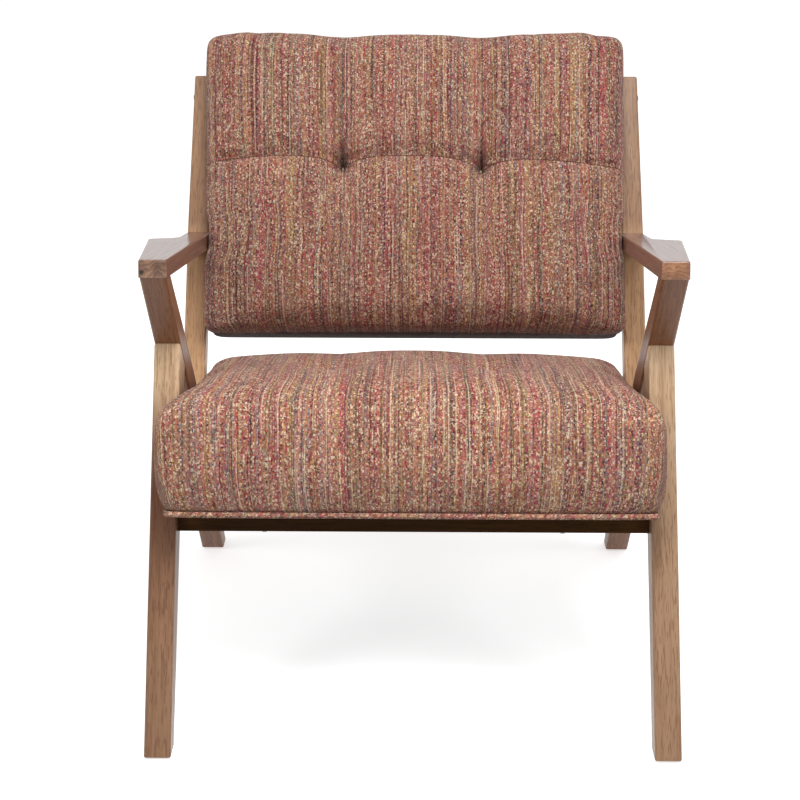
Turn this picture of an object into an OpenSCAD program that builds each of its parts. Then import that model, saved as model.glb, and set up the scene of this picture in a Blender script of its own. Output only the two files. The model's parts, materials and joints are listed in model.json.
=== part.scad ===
// Lounge chair with open wooden side frames, a tufted back and a crowned seat.
// Units are millimetres. +Z is up, the front of the chair faces -Y, and +X is on the
// right of someone who looks at the chair from the front. The origin is on the floor,
// at the middle of the chair's width and depth.

/* [Side frames] */
// Width over the outer faces of the legs
frame_w = 665; // [600:1:720]
// Thickness of the legs, across the chair
leg_t = 33.5; // [30:0.5:38]
// Distance from the front of the front feet to the front of the rear feet
foot_spread = 600; // [570:1:630]
// Lean of the front legs from upright, in degrees
leg_lean = 23.5; // [22:0.5:25]
// Height of the knee, where a front leg meets its rear leg
knee_h = 474; // [460:1:490]
// Depth of a front leg at the floor, square to its front face
leg_foot_d = 30; // [26:0.5:34]
// Depth of a front leg at the knee
leg_knee_d = 51; // [46:0.5:54]
// Depth of a rear leg at the floor
rear_foot_d = 26; // [24:0.5:30]
// Depth of a rear leg at its belly, below the knee
rear_belly_d = 43; // [40:0.5:46]
// Distance of the belly below the knee, along the rear leg
rear_belly_drop = 160; // [130:1:190]
// Depth of a rear leg at the knee
rear_knee_d = 34; // [32:0.5:37]
// Depth of a rear leg where it carries the arm
rear_top_d = 24; // [22:0.5:27]
// Distance above the knee where a rear leg has become as slim as its top
rear_neck_rise = 120; // [100:5:140]
// Rounding of the long edges of the legs and posts
edge_r = 3.5; // [2:0.5:5]

/* [Arms] */
// Height of the arm's front edge
arm_h = 613; // [600:1:630]
// Slope of the arm, down towards the back, in degrees
arm_slope = 10.85; // [9:0.05:13]
// Thickness of the arm
arm_t = 22; // [20:0.5:26]
// Length of the arm from its front end to the back post, measured level
arm_l = 440; // [420:1:460]
// Arm end standing forward of the rear leg that carries it
arm_nose = 4; // [1:0.5:8]
// Arm edge standing inside the frame's inner face
arm_inner = 1.5; // [0.5:0.5:2.5]
// How far the arm widens past the frame's outer face
arm_flare = 38; // [20:1:50]
// Length of the widening part of the arm
arm_flare_l = 322; // [290:1:340]
// Set-back of the widening part's rear edge where it meets the neck
arm_flare_back = 24; // [14:1:34]
// Radius of the outer rear corner of the arm
arm_corner_r = 9; // [4:1:14]
// Radius of the hollow between the wide part and the neck
arm_neck_r = 18; // [10:1:24]

/* [Back posts] */
// Recline of the back from upright, in degrees
recline = 27; // [25:0.5:29]
// Length of the post above the arm
post_rise = 238; // [220:1:255]
// Depth of the post, square to its front face
post_d = 30; // [27:0.5:33]
// Thickness of the post at the arm, across the chair
post_t = 31.5; // [29:0.5:33]
// How much thinner the post is at its top, taken off the outer face
post_taper = 3.8; // [1:0.2:6]
// Height of a back bolt below the post's top
bolt_drop = 30; // [22:1:40]

/* [Rails] */
// Height of the front and rear rails
rail_h = 36; // [32:1:44]
// Thickness of the rails
rail_t = 24; // [20:1:26]
// Distance of the front rail behind the seat's lower front edge
front_rail_y = 78; // [72:1:82]
// Distance of the rear rail behind the seat's lower front edge
rear_rail_y = 389; // [384:1:396]

/* [Seat] */
// Distance of the seat's lower front edge behind the front feet
seat_y = 60; // [52:1:68]
// Height of the seat's lower front edge
seat_h = 299; // [292:1:306]
// Slope of the seat, down towards the back, in degrees
seat_slope = 11.3; // [10:0.1:12.5]
// Depth of the seat along its slope
seat_l = 433; // [425:1:438]
// Gap between the seat's side and the inner face of a leg
seat_gap = 0.6; // [0.4:0.1:2]
// Thickness of the seat at its sides, front
seat_front_t = 153; // [144:1:158]
// Thickness of the seat at its sides, rear
seat_rear_t = 138; // [130:1:144]
// Crown of the seat above its sides
seat_crown = 17; // [10:1:26]
// How far the nose swells sideways and forwards past the lower edge
seat_nose = 10; // [3:1:12]
// Depth of the two sewn dimples in the seat
seat_dimple = 11; // [4:1:14]
// Wadding between the seat's cover and its inner parts, at the sides
seat_wad = 17; // [15:0.5:22]
// Thickness of the seat's lower foam layer
foam_base_t = 33; // [24:1:36]
// Thickness of the seat's upper foam layer
foam_top_t = 30; // [20:1:36]
// How far the upper foam layer stays inside the lower one
foam_step = 42; // [36:1:60]
// Diameter of the welt around the seat's lower edge
welt_d = 7; // [5:0.5:9]

/* [Back] */
// Height of the back's lower edge below the arm line, along the recline
back_low = 150; // [142:1:158]
// Height of the back's upper edge above the arm line, along the recline
back_high = 294; // [280:1:305]
// Crown of the back in front of the posts
back_crown = 76; // [60:1:86]
// Depth of the back's edges in front of the posts
back_edge = 40; // [32:1:46]
// How far the back swells sideways above and below the arms
back_swell = 6; // [0:0.5:9]
// Height of the sewn seam above the arm line
seam_v = 100; // [80:1:120]
// How far the tufts pull the seam down
seam_dip = 15; // [6:1:20]
// How far the seam falls towards the back's sides
seam_fall = 10; // [2:1:14]
// Distance of the two deep tufts from the middle
tuft_x = 100; // [80:1:115]
// Depth of a tuft
tuft_depth = 30; // [15:1:34]
// Depth of the seam between the tufts
seam_depth = 7; // [3:1:12]
// Wadding between the back's cover and its inner parts, at the sides
back_wad = 12; // [10:0.5:16]

/* [Inner frames] */
// Thickness of the wood in the seat's and back's inner frames
stick_t = 26; // [22:1:28]
// Width of the wood in the inner frames
stick_w = 46; // [38:1:54]
// Width of an elastic strap
strap_w = 50; // [40:1:60]
// Thickness of an elastic strap
strap_t = 2.5; // [2:0.5:3]
// Straps across the seat, and across the back
straps_across = 4; // [3:1:5]
// Straps from front to rear in the seat, and from bottom to top in the back
straps_along = 5; // [3:1:6]

/* [Hardware] */
// Diameter of the wooden dowels
dowel_d = 8; // [6:1:10]
// Diameter of a back bolt's shank
bolt_d = 6; // [5:1:8]
// Diameter of a back bolt's domed head
bolt_head_d = 10; // [9:0.5:14]
// Diameter of a foot glide
glide_d = 16; // [12:1:20]
// Height of a foot glide under the wood
glide_h = 3; // [2:0.5:5]
// Clearance around dowels, shanks and other fitted parts
fit = 0.1; // [0.05:0.05:0.2]

/* [Hidden] */
$fn = 32;
outer_x = frame_w / 2;
inner_x = outer_x - leg_t;
leg_mid_x = outer_x - leg_t / 2;
post_inner_x = outer_x - post_t;
post_mid_x = outer_x - post_t / 2;

// The side view has Y = 0 at the front of the front feet until it is placed.
knee_y = knee_h * tan(leg_lean);
rear_lean = atan((foot_spread - knee_y) / knee_h);
rear_len = norm([foot_spread - knee_y, knee_h]);
function rear_front_y(h) = knee_y + (knee_h - h) * tan(rear_lean);

arm_drop = arm_t * cos(arm_slope);
arm_y = rear_front_y(arm_h - arm_drop) - arm_nose + arm_t * sin(arm_slope);
post_y = arm_y + arm_l;
post_z = arm_h - arm_l * tan(arm_slope);

// The chair's depth runs from the front feet to the back's upper rear edge.
back_rear = post_d + 1;
front_end = glide_h * tan(leg_lean);
rear_end = post_y + back_high * sin(recline) + back_rear * cos(recline);
centre_y = (front_end + rear_end) / 2;

wood = [0.64, 0.49, 0.35];
wood_dark = [0.36, 0.24, 0.16];
pine = [0.83, 0.72, 0.53];
beech = [0.86, 0.72, 0.54];
fabric = [0.62, 0.42, 0.38];
foam_yellow = [0.93, 0.88, 0.66];
black_cloth = [0.12, 0.12, 0.13];
rubber_brown = [0.45, 0.33, 0.22];
steel = [0.62, 0.63, 0.65];

// Places. Each one turns its children from a piece's own axes into the chair.

module in_chair() {
  translate([0, -centre_y, 0]) children();
}

// Along a front leg: Z runs up the leg, Y goes back from its front face.
module at_front_leg() {
  in_chair() rotate([-leg_lean, 0, 0]) children();
}

// Along a rear leg: Z runs up from the knee, Y goes back from its front face.
module at_rear_leg() {
  in_chair() translate([0, knee_y, knee_h]) rotate([rear_lean, 0, 0]) children();
}

// Along an arm: Y runs back from its front end, Z stands on its top face.
module at_arm() {
  in_chair() translate([0, arm_y, arm_h]) rotate([-arm_slope, 0, 0]) children();
}

// Along the back: Z runs up from the arm line, Y goes back from the posts' front.
module at_back() {
  in_chair() translate([0, post_y, post_z]) rotate([-recline, 0, 0]) children();
}

// Along the seat: Y runs back from its lower front edge, Z stands on its underside.
module at_seat() {
  in_chair() translate([0, seat_y, seat_h]) rotate([-seat_slope, 0, 0]) children();
}

// The right side is drawn, and the left side is its mirror image.
module on_side(side) {
  if (side < 0) mirror([1, 0, 0]) children();
  else children();
}

// One corner point of a bar's section. Corners are numbered round the section.
corner_steps = 4;
function corner_point(s, r, i) =
  let (
    c = floor(i / (corner_steps + 1)),
    a = 90 * (c + (i % (corner_steps + 1)) / corner_steps),
    x = (c == 0 || c == 3) ? s[4] - r : s[3] + r,
    y = c < 2 ? s[2] - r : s[1] + r
  ) [x + r * cos(a), y + r * sin(a), s[0]];

// A rounded bar through sections [height, front, rear, inner x, outer x].
module bar(sections, r) {
  n = 4 * (corner_steps + 1);
  levels = len(sections);
  polyhedron(
    [for (s = sections, i = [0:n - 1]) corner_point(s, r, i)],
    concat(
      [[for (i = [0:n - 1]) i]],
      [for (k = [0:levels - 2], i = [0:n - 1]) let (a = k * n + i, b = k * n + (i + 1) % n) each
        [[a, a + n, b + n], [a, b + n, b]]],
      [[for (i = [n - 1:-1:0]) (levels - 1) * n + i]]
    )
  );
}

// Half spaces, wide enough to cut any piece.
big = 2000;
module above() {
  translate([-big, -big, 0]) cube(2 * big);
}

module behind() {
  translate([-big, 0, -big]) cube(2 * big);
}

module in_front() {
  translate([-big, -2 * big, -big]) cube(2 * big);
}

// The legs end where the glides' tops are.
module floor_cut() {
  translate([-big, -big, glide_h - 2 * big]) cube(2 * big);
}

// Holes and pins. A dowel lies along Y, centred at its place.

module dowel_at(p, front, rear, play) {
  translate([p[0], p[1] - front, p[2]]) rotate([-90, 0, 0])
    cylinder(d = dowel_d + play, h = front + rear);
}

dowel_spread = 8;
dowel_reach = 16;
dowel_end = 1;
post_foot_gap = post_d / 2;

// The knee's two dowels stand one above the other on the rear leg's front face.
knee_dowel_low = 44;
knee_dowel_high = 20;
module knee_dowels(play, extra) {
  at_rear_leg() for (drop = [knee_dowel_high, knee_dowel_low])
    dowel_at([leg_mid_x, 0, -drop], dowel_reach + extra, dowel_reach + extra, play);
}

// Where the post's middle line meets the rear leg, measured along the rear leg.
meet = post_foot_place();
function rear_depth(drop) =
  rear_belly_d + (rear_foot_d - rear_belly_d) * (drop - rear_belly_drop) / (rear_len - rear_belly_drop);
function post_foot_place() =
  let (
    mid = [post_y + post_foot_gap * cos(recline), post_z - post_foot_gap * sin(recline)],
    dy = mid[0] - knee_y,
    dz = mid[1] - knee_h,
    across = dy * cos(rear_lean) + dz * sin(rear_lean),
    along = -dy * sin(rear_lean) + dz * cos(rear_lean),
    turn = recline + rear_lean,
    fall = (rear_belly_d - rear_foot_d) / (rear_len - rear_belly_drop),
    face = rear_belly_d + fall * (rear_belly_drop + along),
    run = (across - face) / (sin(turn) - fall * cos(turn))
  ) -(along - run * cos(turn));

module foot_dowels(play, extra) {
  at_rear_leg() for (x = [-dowel_spread, dowel_spread])
    dowel_at([post_mid_x + x, rear_depth(meet), -meet], dowel_reach + extra, dowel_reach + extra, play);
}

arm_dowel_y = 30;
arm_dowel_up = 13;
arm_dowel_down = 12;
module arm_front_dowels(play, extra) {
  at_arm() for (x = [-dowel_spread, dowel_spread])
    translate([leg_mid_x + x, arm_dowel_y, -arm_t - arm_dowel_down - extra])
      cylinder(d = dowel_d + play, h = arm_dowel_up + arm_dowel_down + 2 * extra);
}

arm_joint_v = -13;
module arm_rear_dowels(play, extra) {
  at_back() for (x = [-dowel_spread, dowel_spread])
    dowel_at([post_mid_x + x, 0, arm_joint_v], dowel_reach + extra, dowel_reach + extra, play);
}

rail_dowel_share = 0.28;
rail_dowel_z = [-rail_h * rail_dowel_share, -rail_h * (1 - rail_dowel_share)];
module rail_end_dowels(play, extra) {
  at_seat() for (y = [front_rail_y, rear_rail_y], z = rail_dowel_z)
    translate([inner_x - dowel_reach - extra, y + rail_t / 2, z]) rotate([0, 90, 0])
      cylinder(d = dowel_d + play, h = 2 * (dowel_reach + extra));
}

// Side frames. Each bar is drawn longer than its piece and cut to its joints.

spare = 60;
module front_leg(side) {
  top = knee_h / cos(leg_lean);
  swell = (leg_knee_d - leg_foot_d) / top;
  color(wood) on_side(side) difference() {
    at_front_leg() bar([
      [-spare, 0, leg_foot_d - spare * swell, inner_x, outer_x],
      [top + spare, 0, leg_knee_d + spare * swell, inner_x, outer_x]
    ], edge_r);
    at_rear_leg() behind();
    in_chair() floor_cut();
    knee_dowels(2 * fit, dowel_end);
    rail_end_dowels(2 * fit, dowel_end);
    glide_pins(2 * fit, dowel_end);
  }
}

module rear_leg(side) {
  color(wood) on_side(side) difference() {
    at_rear_leg() bar([
      [-rear_len - spare, 0, rear_depth(rear_len + spare), inner_x, outer_x],
      [-rear_belly_drop, 0, rear_belly_d, inner_x, outer_x],
      [0, 0, rear_knee_d, inner_x, outer_x],
      [rear_neck_rise, 0, rear_top_d, inner_x, outer_x],
      [rear_neck_rise + 2 * spare, 0, rear_top_d, inner_x, outer_x]
    ], edge_r);
    at_arm() translate([0, 0, -arm_t]) above();
    in_chair() floor_cut();
    knee_dowels(2 * fit, dowel_end);
    foot_dowels(2 * fit, dowel_end);
    arm_front_dowels(2 * fit, dowel_end);
    rail_end_dowels(2 * fit, dowel_end);
    glide_pins(2 * fit, dowel_end);
  }
}

// The post's foot is cut to the sloping rear face of the rear leg.
module post_foot_cut() {
  lean = atan((rear_belly_d - rear_foot_d) / (rear_len - rear_belly_drop));
  at_rear_leg() translate([0, rear_belly_d, -rear_belly_drop]) rotate([lean, 0, 0]) in_front();
}

post_top_bevel = 2.5;
module back_post(side) {
  foot = -(back_low + post_z);
  top_outer = outer_x - post_taper;
  b = post_top_bevel;
  color(wood) on_side(side) difference() {
    at_back() bar([
      [foot, 0, post_d, post_inner_x, outer_x],
      [0, 0, post_d, post_inner_x, outer_x],
      [post_rise - b, 0, post_d, post_inner_x, top_outer],
      [post_rise, b, post_d - b, post_inner_x + b, top_outer - b]
    ], edge_r);
    post_foot_cut();
    foot_dowels(2 * fit, dowel_end);
    arm_rear_dowels(2 * fit, dowel_end);
    bolt_shanks(2 * fit);
    pin_rods(2 * fit);
  }
}

// Points along an arc of radius r that rounds the corner at p between a and b.
function rounded(a, p, b, r, n = 8) =
  let (
    u = (a - p) / norm(a - p),
    w = (b - p) / norm(b - p),
    half = acos(u * w) / 2,
    sweep = 180 - 2 * half,
    middle = p + (u + w) / norm(u + w) * r / sin(half),
    first = p + u * r / tan(half) - middle,
    last = p + w * r / tan(half) - middle
  ) [for (k = [0:n]) middle + (sin(sweep * (1 - k / n)) * first + sin(sweep * k / n) * last) / sin(sweep)];

// The arm's outline: a straight inner edge, a widening outer edge that ends in a
// rounded corner, and a hollow that leads into the narrow neck at the post.
arm_front_r = 2.5;
module arm_outline() {
  in_x = inner_x - arm_inner;
  far = arm_l + 2 * post_d;
  front_in = [in_x, 0];
  front_out = [outer_x, 0];
  wide = [outer_x + arm_flare, arm_flare_l];
  neck = [outer_x, arm_flare_l + arm_flare_back];
  polygon(concat(
    [[in_x, far]],
    rounded([in_x, far], front_in, front_out, arm_front_r, 3),
    rounded(front_in, front_out, wide, arm_front_r, 3),
    rounded(front_out, wide, neck, arm_corner_r),
    rounded(wide, neck, [outer_x, far], arm_neck_r),
    [[outer_x, far]]
  ));
}

module arm(side) {
  color(wood) on_side(side) difference() {
    at_arm() translate([0, 0, -arm_t]) linear_extrude(arm_t) arm_outline();
    at_back() behind();
    arm_front_dowels(2 * fit, dowel_end);
    arm_rear_dowels(2 * fit, dowel_end);
  }
}

module rail(y) {
  color(wood_dark) difference() {
    at_seat() translate([-inner_x, y, -rail_h]) cube([2 * inner_x, rail_t, rail_h]);
    for (side = [-1, 1]) on_side(side) rail_end_dowels(2 * fit, dowel_end);
    screw_shanks(2 * fit);
  }
}

module frame_dowels() {
  color(beech) for (side = [-1, 1]) on_side(side) {
    knee_dowels(0, 0);
    foot_dowels(0, 0);
    arm_front_dowels(0, 0);
    arm_rear_dowels(0, 0);
  }
}

module rail_dowels() {
  color(beech) for (side = [-1, 1]) on_side(side) rail_end_dowels(0, 0);
}

// Foot glides: a domed disc with a nail that goes up into the wood.

glide_pin_d = 3;
glide_pin_l = 14;
glide_pin_tip = 2;
glide_edge = 1.5;
function foot_places() = [
  leg_foot_d / cos(leg_lean) / 2 + glide_h * tan(leg_lean),
  foot_spread + rear_foot_d / cos(rear_lean) / 2 - glide_h * tan(rear_lean)
];

module glide_pins(play, extra) {
  in_chair() for (y = foot_places())
    translate([leg_mid_x, y, glide_h - 1]) cylinder(d = glide_pin_d + play, h = glide_pin_l + extra + 1);
}

module foot_glides() {
  r = glide_d / 2;
  pin_r = glide_pin_d / 2;
  pin_top = glide_h + glide_pin_l;
  color("dimgray") for (side = [-1, 1]) on_side(side) {
    in_chair() for (y = foot_places()) translate([leg_mid_x, y, 0]) rotate_extrude()
      polygon([[0, 0], [r - glide_edge, 0], [r, glide_h / 2], [r, glide_h],
        [pin_r, glide_h], [pin_r, pin_top - glide_pin_tip], [0, pin_top]]);
  }
}

// Skins of soft pieces. A grid of points makes the crowned face, rings of points
// make the sides, and a fan closes the flat face.

function edge_ring(nu, nv) = concat(
  [for (i = [0:nu - 1]) [i, 0]],
  [for (j = [0:nv - 1]) [nu, j]],
  [for (i = [nu:-1:1]) [i, nv]],
  [for (j = [nv:-1:1]) [0, j]]
);
function spread(i, n) = sin(90 * (2 * i / n - 1));

module soft_skin(nu, nv, face, sides, hub) {
  ring = edge_ring(nu, nv);
  m = len(ring);
  base = (nu + 1) * (nv + 1);
  levels = len(sides);
  points = concat(face, [for (s = sides) each s], [hub]);
  function at(i, j) = j * (nu + 1) + i;
  function ring_at(k, i) =
    k == 0 ? at(ring[i % m][0], ring[i % m][1]) : base + (k - 1) * m + i % m;
  faces = concat(
    [for (j = [0:nv - 1], i = [0:nu - 1]) each [
      [at(i, j), at(i + 1, j + 1), at(i + 1, j)],
      [at(i, j), at(i, j + 1), at(i + 1, j + 1)]
    ]],
    [for (k = [0:levels - 1], i = [0:m - 1]) each [
      [ring_at(k, i), ring_at(k, i + 1), ring_at(k + 1, i + 1)],
      [ring_at(k, i), ring_at(k + 1, i + 1), ring_at(k + 1, i)]
    ]],
    [for (i = [0:m - 1]) [ring_at(levels, i), ring_at(levels, i + 1), base + levels * m]]
  );
  polyhedron(points, faces);
}

// Seat. Its plan is a rectangle with softened corners. Its nose swells forwards and
// sideways in front of the legs, and its lower edge is drawn in over the welt.

seat_x = inner_x - seat_gap;
seat_nu = 28;
seat_nv = 20;
seat_corner_x = 0.01;
seat_corner_x_power = 18;
seat_corner_y = 0.02;
seat_corner_y_power = 14;
seat_swell_high = 0.36;
seat_swell_low = 0.18;
seat_side_rise = 0.7;
seat_side_power = 30;
seat_nose_power = 6;
seat_rear_power = 9;
seat_dimple_y = 0.46 * seat_l;
seat_dimple_r = 26;
nose_from = 10;
nose_to = 70;
edge_draw = welt_d + 0.8;

function ease(a, b, x) = let (t = min(1, max(0, (x - a) / (b - a)))) t * t * (3 - 2 * t);
function dent(p, c, r) = exp(-(pow(p[0] - c[0], 2) + pow(p[1] - c[1], 2)) / (2 * r * r));

// A point of the seat's plan: the nose is swelled by the share s, and the outline is
// drawn in by the length d.
function seat_plan(u, v, s, d = 0) =
  let (
    y0 = seat_l * (1 + v * (1 - seat_corner_y * pow(u, seat_corner_y_power))) / 2,
    swell = seat_nose * s * (1 - ease(nose_from, nose_to, y0)),
    half = seat_x + swell
  ) [
    (half * (1 - seat_corner_x * pow(v, seat_corner_x_power)) - d) * u,
    y0 - d * v - swell * (v < 0 ? pow(abs(v), 3) : 0)
  ];

function seat_thick(y) = seat_front_t + (seat_rear_t - seat_front_t) * y / seat_l;

function seat_top(u, v) =
  let (
    p = seat_plan(u, v, 1),
    t = seat_thick(p[1]),
    ends = v < 0 ? seat_nose_power : seat_rear_power,
    shoulder = sqrt((1 - pow(abs(u), seat_side_power)) * (1 - pow(abs(v), ends))),
    crown = seat_crown * (1 - pow(abs(u), 3)) * (1 - pow(abs(v), 3)),
    dimples = dent(p, [-tuft_x, seat_dimple_y], seat_dimple_r) + dent(p, [tuft_x, seat_dimple_y], seat_dimple_r)
  ) [p[0], p[1], t * (seat_side_rise + (1 - seat_side_rise) * shoulder) + crown * shoulder - seat_dimple * dimples];

seat_face = [for (j = [0:seat_nv], i = [0:seat_nu]) seat_top(spread(i, seat_nu), spread(j, seat_nv))];
function seat_ring(s, d, z) = [
  for (e = edge_ring(seat_nu, seat_nv))
    let (p = seat_plan(spread(e[0], seat_nu), spread(e[1], seat_nv), s, d)) [p[0], p[1], z]
];

seat_in_x = seat_x - seat_wad;
seat_in_y = seat_wad;
seat_in_l = seat_l - 2 * seat_wad;
dust_t = 1;
foam_base_z = dust_t + stick_t + 2 * strap_t;
foam_top_z = foam_base_z + foam_base_t;
seat_in_top = foam_top_z + foam_top_t;

module seat_cover() {
  low = welt_d + 0.5;
  color(fabric) difference() {
    at_seat() soft_skin(seat_nu, seat_nv, seat_face, [
      seat_ring(0.9, 0, seat_rear_t * seat_swell_high),
      seat_ring(0.5, 1.5, seat_rear_t * seat_swell_low),
      seat_ring(0, 3, low + 3),
      seat_ring(0, edge_draw, low),
      seat_ring(0, edge_draw, 0)
    ], [0, seat_l / 2, 0]);
    at_seat() translate([-seat_in_x, seat_in_y, -1]) cube([2 * seat_in_x, seat_in_l, foam_top_z + 1]);
    at_seat() translate([-seat_in_x + foam_step, seat_in_y + foam_step, 0])
      cube([2 * (seat_in_x - foam_step), seat_in_l - 2 * foam_step, seat_in_top]);
  }
}

// The seat's inner frame lies on the rails, inside the cover.

frame_z = dust_t;
strap_z = frame_z + stick_t;
seat_frame_x = seat_in_x - fit;
seat_frame_y = seat_in_y + fit;
seat_frame_l = seat_in_l - 2 * fit;

module seat_frame_stick(x0, y0, w, l) {
  color(pine) difference() {
    at_seat() translate([x0, y0, frame_z]) cube([w, l, stick_t]);
    screw_shanks(0);
  }
}

module seat_frame_front() {
  seat_frame_stick(-seat_frame_x, seat_frame_y, 2 * seat_frame_x, front_stick_l);
}

// The front stick is wide enough to reach over the front rail.
front_stick_l = front_rail_y + rail_t - seat_frame_y;

module seat_frame_rear() {
  seat_frame_stick(-seat_frame_x, seat_frame_y + seat_frame_l - stick_w, 2 * seat_frame_x, stick_w);
}

module seat_frame_side(side) {
  l = seat_frame_l - front_stick_l - stick_w;
  on_side(side) seat_frame_stick(seat_frame_x - stick_w, seat_frame_y + front_stick_l, stick_w, l);
}

block_leg = 48;
module seat_corner_blocks() {
  y_front = seat_frame_y + front_stick_l;
  y_rear = seat_frame_y + seat_frame_l - stick_w;
  x = seat_frame_x - stick_w;
  color(pine) for (side = [-1, 1]) on_side(side) at_seat() translate([0, 0, frame_z])
    linear_extrude(stick_t) {
      polygon([[x, y_front], [x, y_front + block_leg], [x - block_leg, y_front]]);
      polygon([[x, y_rear], [x - block_leg, y_rear], [x, y_rear - block_leg]]);
    }
}

function spaced(n, low, high) = [for (i = [0:n - 1]) low + (high - low) * (i + 0.5) / n];

module seat_straps_across() {
  low = seat_frame_y + front_stick_l;
  high = seat_frame_y + seat_frame_l - stick_w;
  w = seat_frame_x - stick_w / 2;
  color(rubber_brown) at_seat() for (y = spaced(straps_across, low, high))
    translate([-w, y - strap_w / 2, strap_z]) cube([2 * w, strap_w, strap_t]);
}

module seat_straps_along() {
  low = seat_frame_y + front_stick_l / 2;
  high = seat_frame_y + seat_frame_l - stick_w / 2;
  x = seat_frame_x - stick_w;
  color(rubber_brown) at_seat() for (c = spaced(straps_along, -x, x))
    translate([c - strap_w / 2, low, strap_z + strap_t]) cube([strap_w, high - low, strap_t]);
}

tie_d = 3;
module tie_rods(play, extra) {
  for (x = [-tuft_x, tuft_x]) {
    at_seat() translate([x, seat_dimple_y, foam_base_z - extra])
      cylinder(d = tie_d + play, h = seat_in_top - fit - foam_base_z + 2 * extra);
    at_back() translate([x, back_foam_front + fit - extra, tuft_v]) rotate([-90, 0, 0])
      cylinder(d = tie_d + play, h = back_foam_rear - back_foam_front - fit + 2 * extra);
  }
}

// A lower foam layer fills the cover from side to side, and an upper one crowns it.
module foam_layer(step, z, t) {
  color(foam_yellow) difference() {
    at_seat() translate([-seat_frame_x + step, seat_frame_y + step, z])
      cube([2 * (seat_frame_x - step), seat_frame_l - 2 * step, t - fit]);
    tie_rods(2 * fit, 2);
  }
}

module seat_foam_base() {
  foam_layer(0, foam_base_z, foam_base_t);
}

module seat_foam_crown() {
  foam_layer(foam_step, foam_top_z, foam_top_t);
}

module seat_dust_cover() {
  color(black_cloth) difference() {
    at_seat() translate([-seat_frame_x, seat_frame_y, 0]) cube([2 * seat_frame_x, seat_frame_l, dust_t - fit]);
    screw_shanks(2 * fit);
  }
}

// The welt is a cord that lies in the drawn-in lower edge of the cover.
welt_sides = 6;
module seat_welt() {
  ring = edge_ring(seat_nu, seat_nv);
  turns = len(ring);
  middle = edge_draw - welt_d / 2 - 0.3;
  path = [for (e = ring) seat_plan(spread(e[0], seat_nu), spread(e[1], seat_nv), 0, middle)];
  rings = [for (i = [0:turns - 1]) let (
      way = path[(i + 1) % turns] - path[(i + turns - 1) % turns],
      out = [way[1], -way[0]] / norm(way)
    ) [for (k = [0:welt_sides - 1]) let (b = 360 * k / welt_sides, r = welt_d / 2)
      [path[i][0] + out[0] * cos(b) * r, path[i][1] + out[1] * cos(b) * r, r + 0.3 + sin(b) * r]]];
  n = turns * welt_sides;
  color(fabric) at_seat() polyhedron([for (r = rings) each r],
    [for (i = [0:turns - 1], k = [0:welt_sides - 1]) let (
        a = i * welt_sides + k,
        b = i * welt_sides + (k + 1) % welt_sides,
        c = ((i + 1) * welt_sides + (k + 1) % welt_sides) % n,
        d = ((i + 1) * welt_sides + k) % n
      ) each [[a, b, c], [a, c, d]]]);
}

// Wood screws go up through the rails into the seat's frame.
screw_d = 4.5;
screw_head_d = 9;
screw_head_h = 3;
screw_x = 190;
screw_up = 18;
module screw_shanks(play) {
  for (side = [-1, 1]) on_side(side) at_seat() for (y = [front_rail_y, rear_rail_y])
    translate([screw_x, y + rail_t / 2, -rail_h - 1])
      cylinder(d = screw_d + play, h = rail_h + dust_t + screw_up + 1 + play);
}

module seat_screws() {
  color(steel) for (side = [-1, 1]) on_side(side) at_seat() for (y = [front_rail_y, rear_rail_y])
    translate([screw_x, y + rail_t / 2, -rail_h]) {
      cylinder(d = screw_d, h = rail_h + dust_t + screw_up);
      translate([0, 0, -screw_head_h]) cylinder(d1 = screw_head_d - 3, d2 = screw_head_d, h = screw_head_h);
    }
}

// Back. Its front is crowned and drawn in by one sewn seam and two deep tufts.

back_h = back_low + back_high;
back_x = inner_x - arm_inner - seat_gap;
back_nu = 30;
back_nv = 20;
back_corner_x = 0.02;
back_corner_x_power = 36;
back_corner_v = 0.026;
back_corner_v_power = 48;
back_fall_x = 0.18;
back_fall_v = 0.12;
arms_clear = 4;
swell_over = 32;
seam_reach = 70;
seam_row = 11;
dip_r = 26;
back_frame_y = 2;
panel_t = 3;
tuft_r = 20;
seam_r = 12;

// One row of points lies on the seam.
seam_share = (2 * seam_v - back_high + back_low) / back_h;
function back_v(j) =
  let (s = spread(j, back_nv), r = spread(seam_row, back_nv))
  j < seam_row ? (s + 1) * (seam_share + 1) / (r + 1) - 1 : 1 - (1 - s) * (1 - seam_share) / (1 - r);

// Between the arms the back keeps its width, and above and below them it swells.
function arms_free(h) =
  max(ease(arms_clear, arms_clear + swell_over, h), ease(arm_t + arms_clear, arm_t + arms_clear + swell_over, -h));

function back_plan(u, v, s) =
  let (
    h = (back_high - back_low) / 2 + back_h / 2 * v * (1 - back_corner_v * pow(u, back_corner_v_power)),
    wide = back_x + s * back_swell * arms_free(h)
  ) [wide * u * (1 - back_corner_x * pow(v, back_corner_x_power)), h];

// The tufts and the sides pull the seam down, and the rows beside it follow.
function pulled(x, c) = 1 / (1 + pow((x - c) / dip_r, 2));
function seam_shift(x, h) =
  -exp(-pow((h - seam_v) / seam_reach, 2)) *
  (seam_dip * (pulled(x, -tuft_x) + pulled(x, tuft_x)) + seam_fall * pow(abs(x) / back_x, 3));
tuft_v = seam_v + seam_shift(tuft_x, seam_v);

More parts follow.
